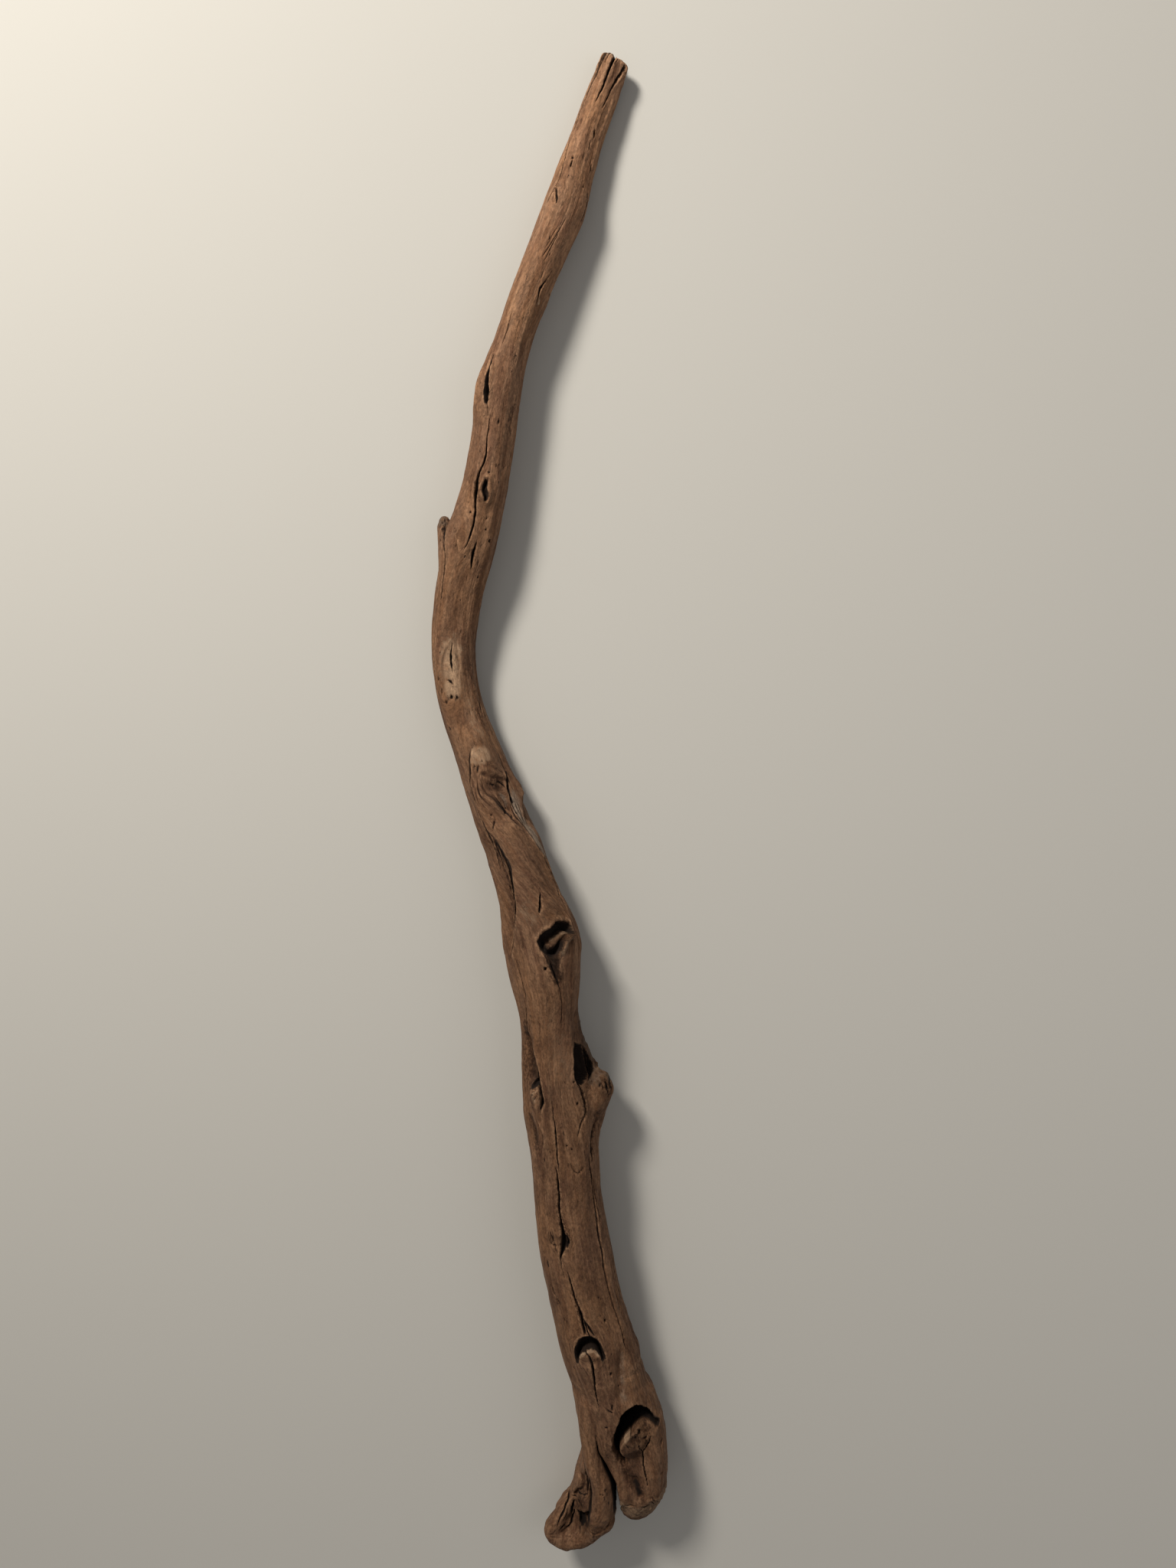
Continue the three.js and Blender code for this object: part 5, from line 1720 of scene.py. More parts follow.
    def finish(self, stem: Stem, points: np.ndarray) -> tuple[dict[Tone, np.ndarray], np.ndarray]:
        """Tones and grain at the foot's vertices.

        Args:
            stem: The stem.
            points: The vertices in millimetres.

        Returns:
            Tones, and the grain's coordinates.
        """
        own, stem_grain = stem.surface(points)
        guides = [np.array(rows, float) for rows in (self.toe_guide, self.heel_guide)]
        rows = np.array(self.split, float)[::-1]
        middle = np.interp(points[:, 1], rows[:, 0], rows[:, 1])
        softness = 1.0 + 14.0 * ease(140.0, 175.0, points[:, 1])
        heel_share = ease(-1.0, 1.0, (points[:, 0] - middle) / softness)
        centre = []
        for column in (1, 2):
            toe, heel = (np.interp(points[:, 1], guide[:, 0], guide[:, column]) for guide in guides)
            centre.append(toe + (heel - toe) * heel_share)
        foot_grain = np.stack([points[:, 2] - centre[1], points[:, 0] - centre[0], points[:, 1]], axis=-1)
        to_stem = ease(*self.blend_out, points[:, 1])[:, None]
        grain = foot_grain + (stem_grain - foot_grain) * to_stem
        plan = self.plan(points[:, 1].copy(), points[:, 0].copy())
        gate = self.gate(points[:, 2])
        stem_part = ease(stem.skin_start - 8.0, stem.skin_start + 12.0, points[:, 1])
        tones = {}
        for tone in Tone:
            tones[tone] = np.maximum(plan.tones[tone] * gate, own.tones[tone] * stem_part)
        # Painted shade in the gap between the roots and down in the heel's well.
        half = np.interp(points[:, 1], rows[:, 0], rows[:, 2]) / 2
        in_gap = 1.0 - ease(0.6, 2.2, np.abs(points[:, 0] - middle) - half)
        in_gap *= ease(80.0, 68.0, points[:, 2]) * ease(38.0, 60.0, points[:, 1]) * ease(0.2, 0.8, half)
        dark = np.maximum(in_gap * ease(8.0, 20.0, points[:, 2]), self.depth_in_well(points))
        tones[Tone.CRACK_SHADE] = np.maximum(tones[Tone.CRACK_SHADE], dark)
        # Painted shade: the foot's surfaces low down near the floor are darker brown.
        low_side = (1.0 - ease(4.0, 30.0, points[:, 2])) * (1.0 - to_stem[:, 0])
        tones[Tone.BROWN] = np.maximum(tones[Tone.BROWN], 0.35 * low_side)
        return tones, grain

    def depth_in_well(self, points: np.ndarray) -> np.ndarray:
        """Painted shade in the well: how dark it is at each point, from 0 outside it to 1 well down in it."""
        outline = smooth_path([*self.heel_well, self.heel_well[0]], 3.0)[:-1, :2]
        still = np.zeros(len(points))
        skin = Skin(points[:, 1].copy(), points[:, 0].copy(), still + FLAT_RADIUS, (still, still), still)
        rows = skin.window(outline, 6.0)
        dark = still.copy()
        inward = skin.within(outline, rows)
        dark[rows] = ease(-1.2, 1.2, inward) * ease(81.0, 66.0, points[rows, 2])
        return dark


# Forms of the foot in plan view. Points are along and across, both in millimetres.
FOOT_FORMS: tuple[Form, ...] = (
    # Toe: the fan of ribs beside the middle strand
    Swell([(92, 17), (78, 17), (60, 12), (40, 4), (28, 0)], 10, -4.5),
    Swell([(104, 12), (88, 5), (70, 1), (54, -4)], 6, 2),
    Swell([(44, -10), (30, -17), (18, -24)], 6, 1.5),
    Ledge([(22, 18, 1), (32, 21, 3), (42, 22, 4), (52, 23, 4.5), (65, 24, 4), (79, 24, 3.5), (89, 22, 3),
        (100, 21, 2.4), (112, 16, 2), (122, 12, 0.8)], 12, 2.2, 1),
    Swell([(90, 12), (80, 13), (73, 12), (64, 7), (56, 3)], 2.2, -2.6),
    stain_and_shade([(90, 12), (80, 13), (73, 12), (64, 7), (56, 3)], 2.2),
    Crack([(108, 15), (96, 17, 1.5, 2), (84, 18, 1.7, 2.4), (72, 18, 1.5, 2), (62, 16)]),
    Crack([(58, 1), (60, 8, 1.8, 2.4), (68, 17, 1.2, 1.4)]),
    Crack([(52, -3), (53, 3, 1.8, 2.4), (50, 8, 1.8, 2.4), (44, 12)]),
    Crack([(48, 1, 1.2, 1.5), (43, -1, 2.8, 5), (37, -2, 3, 5.5), (30, -3, 1.6, 2)]),
    Crack([(36, 1, 1.2, 1.5), (28, 0, 2.2, 4.5), (20, -2, 2.8, 5), (15, -5, 2.4, 4), (11, -11)]),
    Crack([(54, -5, 1.2, 1.5), (48, -7, 2.4, 3.5), (42, -9, 2, 2.5), (34, -13, 2.4, 3.5), (25, -17, 2, 2.5),
        (19, -19, 0.9, 0.8)]),
    Crack([(20, -9, 1, 1.2), (17, -12, 2.8, 3.5), (13, -16, 1.4, 1.6)]),
    Crack([(40, -6), (32, -9, 1.5, 2), (24, -12)]),
    Crack([(14, -20, 0.9, 0.8), (9, -27, 1.4, 1.4), (6, -32, 0.9, 0.8)]),
    Crack([(6, -29, 0.9, 0.8), (7, -24, 1.6, 1.6), (5, -18, 1.2, 1), (4, -12, 0.9, 0.6)]),
    Crack([(5, -11), (6, -6, 2, 2), (7, -1)]),
    Crack([(2, 2, 1, 0.8), (3, 8, 1.6, 1.4), (5, 14, 1, 0.8)]),
    Cavity([(38, 4), (38, 9), (40, 14), (45, 20), (43, 21.5), (36, 21), (29, 19), (24, 15), (20, 12),
        (22, 9), (28, 7), (33, 6)], 9, 3.5, 0.9, 0.3, 0.4),
    Crack([(24, 10), (18, 9, 1.6, 2), (12, 9, 0.9, 0.8)]),
    paint_crack_shade([(35, 15), (31, 18)], 2.2, -0.9),
    crumble([(44, 10), (34, 14), (24, 12)], 9),
    stain_and_shade([(90, 16), (74, 16), (58, 10), (44, 6)], 7, 0.8),
    crumble([(56, 5), (40, 0), (22, -12)], 8, 0.5),
    bleach_and_highlight([(62, 9), (55, 9)], 3, 0.5),
    # Toe: the strand's lower lip and the rolled rim
    Ledge([(26, 18, 0.3), (25, 24, 0.8), (23, 28, 0.9), (24, 33, 0.9), (28, 39, 0.7), (34, 45, 0.3)],
        6, 2.4, 0.25),
    Swell([(24, 16), (18, 30), (24, 44), (34, 52)], 7, 1.6),
    Crack([(27, 20, 0.9, 0.8), (24, 26, 1.5, 1.8), (23, 31, 1.5, 1.8), (25, 36, 0.9, 0.8)]),
    Crack([(23, 28, 1.1, 1.4), (16, 27, 1.1, 1)]),
    Crack([(31, 41, 0.9, 0.8), (36, 44, 1.5, 1.6), (41, 47, 0.9, 0.8)]),
    Crack([(6, 25), (10, 28, 2, 2.6), (14, 32, 1, 1.2)]),
    crumble([(24, 24), (28, 36), (40, 48)], 5, 0.5),
    bleach_and_highlight([(20, 22), (18, 18)], 4, 0.5),
    stain_and_shade([(97, 32)], 1.8, 0.9),
    stain_and_shade([(93, 40), (91, 40)], 2.2),
    stain_and_shade([(89, 36)], 2),
    stain_and_shade([(85, 39), (82, 40)], 1.8, 0.9),
    stain_and_shade([(70, 29), (62, 29)], 2.4, 0.7),
    *pits((92, 41, 3, 2, 2), (87, 38, 3, 2, 2)),
    # Heel: the knot inside the well
    Swell([(164, 78), (150, 76)], 15, 2),
    Swell([(138, 74), (120, 75), (104, 77)], 9, -3.5),
    Swell([(140, 98), (110, 99)], 10, 1.5),
    crumble([(172, 80), (158, 78), (146, 74)], 13),
    bleach_and_highlight([(158, 58), (163, 62), (168, 67)], 3),
    bleach_and_highlight([(170, 84), (160, 82), (152, 78)], 4, 0.35),
    Swell([(170, 76), (163, 78)], 5.5, -2.2),
    *pits((172, 79, 8, 4.5, 3), (166, 75, 6, 4, 2.5), (165, 87, 4.5, 6, 2.5)),
    Crack([(176, 70, 0.9, 0.8), (169, 69, 1.6, 2), (162, 71, 0.9, 0.8)]),
    Crack([(160, 62, 0.9, 0.8), (155, 66, 1.6, 2), (149, 70, 0.9, 0.8)]),
    stain_and_shade([(180, 86), (174, 90)], 4, 0.9),
    stain_and_shade([(168, 75), (160, 73), (162, 79)], 4.5),
    stain_and_shade([(163, 86), (157, 88), (160, 92)], 3.5, 0.9),
    Crack([(170, 80), (164, 78, 1.4, 1.6), (159, 77)]),
    Crack([(160, 77, 0.9, 1.2), (150, 81.5, 1.5, 3.5), (143, 84, 1.7, 4), (130, 85, 1.6, 4),
        (118, 87, 1.5, 4), (106, 89.5, 1.2, 3), (96, 91)], 0.1),
    Crack([(165, 93, 0.9, 1.2), (155, 91, 1.4, 3), (147, 86, 1.6, 3.5), (142, 81, 0.9, 1.2)], 0.1),
    # Painted shade from the well's lower tip down the heel.
    paint_hollow_shade([(146, 66), (130, 69), (112, 75), (98, 79)], 9),
    Swell([(132, 62), (122, 66), (110, 70)], 6, -2.5),
    stain_and_shade([(134, 61), (122, 65), (112, 69)], 5, 1.1),
    stain_and_shade([(134, 72), (116, 74)], 6, 0.55),
    stain_and_shade([(114, 66), (104, 68), (94, 71)], 4, 0.9),
    Ledge([(88, 70, 0.4), (104, 68, 1.6), (116, 64, 2), (128, 57, 1.6), (146, 50, 0.8)], 8, 2, 0.35),
    Ledge([(156, 57, 0.6), (164, 61, 1.4), (170, 68, 1.6), (174, 77, 1.4), (172, 86, 0.8)], 5, 2.2, 0),
    # Painted shade in the teardrop hollow.
    Swell([(102, 76), (92, 78), (82, 82)], 5.2, -5),
    paint_crack_shade([(98, 77), (90, 79), (84, 81)], 3.8, 0.85),
    stain_and_shade([(104, 77), (80, 84)], 7),
    # Heel: the crumbling end
    Ledge([(64, 70, 0.3), (66, 78, 0.7), (70, 86, 1), (78, 95, 1.4), (77, 104, 1), (81, 113, 0.5)],
        5, 3, 0.12),
    crumble([(56, 60), (52, 74), (56, 88), (64, 100), (72, 112)], 13),
    bleach_and_highlight([(60, 60), (54, 74), (56, 88), (64, 102), (74, 112)], 11, 1.2),
    Crack([(70, 62, 0.9, 0.6), (65, 66, 1.5, 1.4), (66, 74, 1.1, 1), (70, 80, 0.9, 0.6)]),
    Crack([(68, 82), (64, 88, 2, 2.4), (67, 94, 1.4, 1.6)]),
    Crack([(80, 97), (75, 100, 2.2, 2.6), (70, 105, 2.8, 3.4), (66, 110, 1.2, 1.5)]),
    Crack([(74, 96), (67, 100, 2, 2.2), (60, 103)]),
    stain_and_shade([(62, 84)], 3, 0.9),
    stain_and_shade([(58, 94)], 3, 0.8),
    stain_and_shade([(60, 72)], 2.6, 0.8),
    stain_and_shade([(78, 96)], 2.2),
    silver([(190, 92), (205, 78)], 7, 0.3),
    *pits((150, 106, 9, 2, 1.6), (112, 108, 6, 2, 1.4)),
    Crack([(170, 34, 0.8, 0.6), (150, 38, 1.3, 1), (130, 45, 0.8, 0.6)]),
    Crack([(200, 40, 0.8, 0.5), (182, 42, 1.2, 1), (160, 44, 0.8, 0.5)]),
    Pit(180, 40, 4, 3, 2),
)


# The side branches


@dataclass
class Branch:
    """A broken-off side branch that swells out of the stem's skin with a fillet round it."""

    name: str
    node: str
    limbs: Sequence[Rows]
    low: tuple[float, float, float]
    high: tuple[float, float, float]
    fillet: float
    rough_from: float
    forms: Sequence[Form]
    seed: int
    hollow: Rows = ()

    def build(self, stem: Stem, step: float) -> bpy.types.Object:
        """Builds the branch's mesh from its field.

        The stem's skin is let in below the real one, deeper the further it is from the branch,
        so that only the fillet comes out of the wood.

        Args:
            stem: The stem that it grows from.
            step: Spacing of the field's samples, in millimetres.

        Returns:
            The object.
        """
        noise = Lattice(self.seed)
        voxels = Voxels(self.low, self.high, step)
        x, y, z = voxels.everywhere()
        body = voxels.empty()
        for rows in self.limbs:
            body = merge(body, limb_field(voxels, rows, 5.0), 6.0)
        rough = ease(self.rough_from - 12.0, self.rough_from + 8.0, y)
        body = body + 0.7 * noise.layered(x / 8, y / 22, z / 8, 2)
        body = body + rough * 1.5 * noise.layered(x / 5.5, y / 5.5, z / 5.5, 3)
        plan_x, plan_y = columns_of(x, y)
        height = self.plan(plan_y, plan_x).height.reshape(len(x), -1, 1)
        body = body - height * self.gate(z)
        grid = np.stack(np.broadcast_arrays(x, y, z), axis=-1).reshape(-1, 3)
        skin = stem.field(grid, 22.0).reshape(voxels.shape)
        skin = skin + 0.8 + 0.35 * np.maximum(body - 6.0, 0.0)
        body = merge(body, skin, self.fillet)
        hollow = voxels.empty()
        if self.hollow:
            hollow = limb_field(voxels, self.hollow, 5.0) + 0.8 * noise.layered(x / 6, y / 9, z / 6, 2)
            body = carve(body, hollow, 3.0)
        for axis, low, high in zip((x, y, z), self.low, self.high):
            body = np.maximum(body, np.maximum(low + 2.0 * step - axis, axis - high + 2.0 * step))
        points, quads = surface_net(voxels, body.astype(np.float32))
        piece = make_mesh(self.name, points, quads)
        own, grain = stem.surface(points)
        on_branch = self.share_of_branch(points)
        plan = self.plan(points[:, 1].copy(), points[:, 0].copy())
        end = ease(self.rough_from - 10.0, self.rough_from + 6.0, points[:, 1]) * on_branch
        gate = self.gate(points[:, 2])
        tones = {
            tone: np.maximum(own.tones[tone] * (1.0 - on_branch), plan.tones[tone] * gate)
            for tone in Tone
        }
        tones[Tone.ROUGH] = np.maximum(tones[Tone.ROUGH], end)
        tones[Tone.GREY] = np.maximum(tones[Tone.GREY], 0.5 * end)
        # Painted shade inside the branch's hollow.
        dark = 1.0 - ease(-0.6, 1.6, voxels.near(hollow, points))
        tones[Tone.CRACK_SHADE] = np.maximum(tones[Tone.CRACK_SHADE], dark)
        store(piece, tones, grain)
        return piece

    def plan(self, along: np.ndarray, across: np.ndarray) -> Skin:
        """The branch seen from above, with its own pits and checks."""
        noise = Lattice(self.seed + 1)
        return seen_from_above(noise, along, across, (0.8, 5, 9, 2), (3, 5), self.forms)

    def gate(self, height: np.ndarray) -> np.ndarray:
        """How far the plan's forms act at a height: fully on top, not at all low down."""
        return ease(24.0, 40.0, height)

    def share_of_branch(self, points: np.ndarray) -> np.ndarray:
        """How much each point belongs to the branch rather than to the stem's skin.

        Args:
            points: Positions in millimetres.

        Returns:
            From 0 to 1.
        """
        share = np.zeros(len(points))
        for rows in self.limbs:
            for row in np.array(rows, float):
                offset = points - row[:3]
                drop = np.hypot(offset[:, 1], offset[:, 2])
                reach = np.hypot(offset[:, 0] / row[3], drop / row[4])
                share = np.maximum(share, 1.0 - ease(0.9, 1.5, reach))
        return share


KNOB = Branch(
    name="driftwood_branch_knob",
    node="branch_knob",
    limbs=(
        ((-4, 492, 42, 16, 20), (-1, 520, 45, 19.5, 20), (4, 542, 47, 20.5, 19), (10, 562, 50, 19, 18),
         (15, 577, 52, 19, 17), (17.5, 586, 52, 18.5, 16), (18, 589, 52, 17, 15)),
        ((-16, 678, 36, 5, 13), (-14.5, 661, 36, 5.5, 14), (-10.5, 646, 37, 5.5, 14), (-3, 628, 38, 5.5, 14),
         (4, 614, 42, 6, 13), (11, 602, 46, 7, 12)),
        ((-20, 676, 32, 6, 13), (-18, 655, 33, 7.5, 12), (-13, 632, 33, 10, 11), (-6, 612, 34, 13, 11),
         (1, 596, 36, 14, 11)),
    ),
    low=(-40.0, 478.0, 8.0),
    high=(46.0, 694.0, 76.0),
    fillet=9.0,
    rough_from=590.0,
    forms=(
        Swell([(588, 14), (574, 18)], 13, 1.5),
        # Painted shade in the cavity above the knob.
        paint_crack_shade([(634, -13), (624, -10)], 4.5, 1.2),
        paint_crack_shade([(620, -8), (608, -5), (597, -7)], 8, 1.3),
        # Painted highlight along the knob's top rim.
        bleach_and_highlight([(604, 10), (608, 18), (603, 27), (597, 32)], 4, 0.6),
        bleach_and_highlight([(598, 14), (590, 24)], 8, 0.35),
        Crack([(604, 16, 0.8, 0.8), (601, 20, 1.4, 1.6), (598, 23, 0.8, 0.8)]),
        Pit(592, 20, 4, 2.6, 2),
        Crack([(603, 27, 0.9, 0.8), (597, 31, 1.7, 1.8), (589, 33, 1.7, 1.8), (580, 34, 0.9, 0.8)], 0.5),
        Crack([(598, 24, 0.9, 0.8), (592, 28, 1.9, 2.2), (584, 30, 1.7, 1.8), (577, 31, 0.9, 0.8)], 0.5),
        Crack([(596, 20, 0.9, 0.8), (590, 24, 1.5, 1.6), (586, 25, 0.9, 0.8)], 0.5),
        stain_and_shade([(598, 26), (588, 30), (579, 32)], 5, 0.8),
        stain_and_shade([(589, -1), (591, 7), (586, 11)], 4, 0.75),
        crumble([(590, 28), (584, 24)], 8, 0.8),
        Crack([(592, -7, 1.6, 3), (583, -3, 3.4, 7), (576, 1, 4, 8), (568, 2, 4, 8), (560, 3.5, 3.4, 7),
            (556, 3, 2.6, 5), (547, 0, 2, 3.5), (539, -3, 1.6, 2.5), (530, -4)], 0.1),
        bleach_and_highlight([(595, -7), (590, -5)], 1.6),
        Ledge([(622, 10, -0.4), (617, 13, -1.2), (612, 14, -0.8)], 5, 2, 0.3),
        Swell([(556, 18), (545, 15), (531, 12)], 4, -1.5),
        stain_and_shade([(560, 20), (545, 15), (528, 12)], 4.5, 0.8),
    ),
    seed=41,
    hollow=(
        (-14, 644, 64, 1.5, 6), (-13, 635, 62, 7, 12), (-8, 625, 61, 12.5, 15.5), (-3, 615, 61, 17, 16),
        (-5, 606, 61, 15, 16), (-8.5, 598, 62, 10.5, 14.5), (-10, 591, 64, 5.5, 11), (-10, 585, 67, 1.5, 7),
    ),
)

STUB = Branch(
    name="driftwood_side_stub",
    node="side_stub",
    limbs=(((-163, 1172, 32, 10, 13), (-169, 1196, 33, 11, 13), (-173, 1218, 33, 9.5, 11),
            (-175, 1233, 33, 7.5, 8), (-175.5, 1238, 33, 6, 6)),),
    low=(-196.0, 1146.0, 6.0),
    high=(-134.0, 1252.0, 62.0),
    fillet=8.0,
    rough_from=1232.0,
    forms=(
        *pits((1236, -176, 3, 4, 2), (1216, -177, 5, 2.4, 1.8)),
        Crack([(1240, -173, 1.4, 1.5), (1226, -173, 1.8, 2.4), (1208, -172)]),
    ),
    seed=57,
)


# Finish


class Graph:
    """Short calls that add nodes to a tree and join them."""

    def __init__(self, tree: bpy.types.NodeTree) -> None:
        """Takes the tree to build in."""
        self.tree = tree

    def add(self, kind: str, inputs: dict | None = None, **settings: object) -> bpy.types.Node:
        """Adds a node.

        Args:
            kind: The node's type, without the word ShaderNode.
            inputs: Value or output socket for each input, by name or number.
            settings: The node's own properties.

        Returns:
            The node.
        """
        node = self.tree.nodes.new(kind if kind.startswith("Node") else "ShaderNode" + kind)
        for name, value in settings.items():
            setattr(node, name, value)
        for key, value in (inputs or {}).items():
            if isinstance(value, Socket):
                self.tree.links.new(value, node.inputs[key])
            else:
                node.inputs[key].default_value = value
        return node

    def math(self, operation: str, first: object, second: object, clamp: bool = False) -> Socket:
        """Result of a Math node."""
        return self.add("Math", {0: first, 1: second}, operation=operation, use_clamp=clamp).outputs[0]

    def vector(self, operation: str, first: object, second: object) -> Socket:
        """Result of a Vector Math node."""
        return self.add("VectorMath", {0: first, 1: second}, operation=operation).outputs[0]

    def ramp(self, value: object, low: float, high: float, bottom: float = 0.0, top: float = 1.0) -> Socket:
        """Value eased from bottom at low to top at high."""
        inputs = {"Value": value, "From Min": low, "From Max": high, "To Min": bottom, "To Max": top}
        return self.add("MapRange", inputs, interpolation_type="SMOOTHSTEP").outputs["Result"]

    def mix(self, share: object, first: object, second: object, blend: str = "MIX") -> Socket:
        """Colour between two colours, or one laid over the other."""
        node = self.add("Mix", {0: share, 6: first, 7: second}, data_type="RGBA", blend_type=blend)
        return node.outputs[2]

    def noise(self, vector: object, scale: tuple[float, float, float], detail: float, rough: float) -> Socket:
        """Noise over a vector that is scaled first."""
        scaled = self.vector("MULTIPLY", vector, scale)
        inputs = {"Vector": scaled, "Scale": 1.0, "Detail": detail, "Roughness": rough}
        return self.add("TexNoise", inputs, noise_dimensions="3D").outputs["Fac"]


def new_group(
    name: str, inputs: dict[str, str], outputs: Sequence[str],
) -> tuple[bpy.types.NodeTree, Graph, bpy.types.Node]:
    """Empty shader node group with its sockets.

    Args:
        name: The group's name.
        inputs: Socket type for each input, without the word NodeSocket.
        outputs: Names of the outputs, which are all values.

    Returns:
        The group, its graph and its input node.
    """
    tree = bpy.data.node_groups.new(name, "ShaderNodeTree")
    for title, kind in inputs.items():
        tree.interface.new_socket(title, in_out="INPUT", socket_type="NodeSocket" + kind)
    for title in outputs:
        tree.interface.new_socket(title, in_out="OUTPUT", socket_type="NodeSocketFloat")
    graph = Graph(tree)
    return tree, graph, graph.add("NodeGroupInput")


def fibre_group() -> bpy.types.NodeTree:
    """Streaks, fine dark lines and hair lines that run with the grain, thick in some places."""
    tree, graph, given = new_group(
        "wood_fibre", {"Grain": "Vector"}, ("Streak", "Line", "Hair", "Height"),
    )
    grain = given.outputs["Grain"]
    broad = graph.noise(grain, (170, 170, 9), 5.0, 0.62)
    lines = graph.noise(grain, (720, 720, 17), 3.0, 0.6)
    hairs = graph.noise(grain, (1900, 1900, 90), 3.0, 0.65)
    where = graph.ramp(graph.noise(grain, (60, 60, 14), 3.0, 0.6), 0.42, 0.64, 0.1, 1.0)
    height = graph.math("SUBTRACT", 1.0, lines)
    fine = graph.math("MULTIPLY", hairs, 0.45)
    graph.add("NodeGroupOutput", {
        "Streak": graph.ramp(broad, 0.33, 0.67),
        "Line": graph.math("MULTIPLY", graph.ramp(lines, 0.55, 0.7), where),
        "Hair": graph.ramp(hairs, 0.4, 0.68),
        "Height": graph.math("SUBTRACT", height, fine),
    })
    return tree


def mottle_group() -> bpy.types.NodeTree:
    """Broad patches, clouds, flecks a few millimetres long and small specks."""
    tree, graph, given = new_group(
        "wood_mottle", {"Position": "Vector", "Grain": "Vector"},
        ("Patch", "Cloud", "Fleck", "Speck", "Grit"),
    )
    grain = given.outputs["Grain"]
    patch = graph.noise(given.outputs["Position"], (22, 12, 22), 5.0, 0.6)
    cloud = graph.noise(grain, (75, 75, 24), 5.0, 0.66)
    fleck = graph.noise(grain, (400, 400, 210), 5.0, 0.7)
    speck = graph.noise(grain, (520, 520, 210), 3.0, 0.7)
    grit = graph.noise(given.outputs["Position"], (1300, 1300, 1300), 3.0, 0.7)
    graph.add("NodeGroupOutput", {
        "Patch": graph.ramp(patch, 0.36, 0.66),
        "Cloud": graph.ramp(cloud, 0.42, 0.66),
        "Fleck": graph.ramp(fleck, 0.32, 0.68),
        "Speck": graph.ramp(speck, 0.58, 0.72),
        "Grit": graph.ramp(grit, 0.3, 0.7),
    })
    return tree


def pore_group() -> bpy.types.NodeTree:
    """Pin holes and short dark dashes, few and scattered, stretched along the grain."""
    tree, graph, given = new_group("wood_pores", {"Grain": "Vector", "Share": "Float"}, ("Pore",))
    total = None
    for scale, size in (((150, 150, 40), 0.13), ((330, 330, 90), 0.2)):
        scaled = graph.vector("MULTIPLY", given.outputs["Grain"], scale)
        bend = graph.add("TexNoise", {"Vector": scaled, "Scale": 2.5, "Detail": 2.0}, noise_dimensions="3D")
        bent = graph.vector("ADD", scaled, graph.vector("MULTIPLY", bend.outputs["Color"], (0.5, 0.5, 0.5)))
        cells = graph.add("TexVoronoi", {"Vector": bent, "Scale": 1.0, "Randomness": 1.0})
        parts = graph.add("SeparateColor", {0: cells.outputs["Color"]})
        chosen = graph.math("LESS_THAN", parts.outputs[0], given.outputs["Share"])
        spread = graph.math("ADD", graph.math("MULTIPLY", parts.outputs[1], size * 0.8), size * 0.4)
        dot = graph.math("DIVIDE", cells.outputs["Distance"], spread)
        dot = graph.math("MULTIPLY", graph.ramp(dot, 1.0, 0.5), chosen)
        total = dot if total is None else graph.math("MAXIMUM", total, dot)
    graph.add("NodeGroupOutput", {"Pore": total})
    return tree


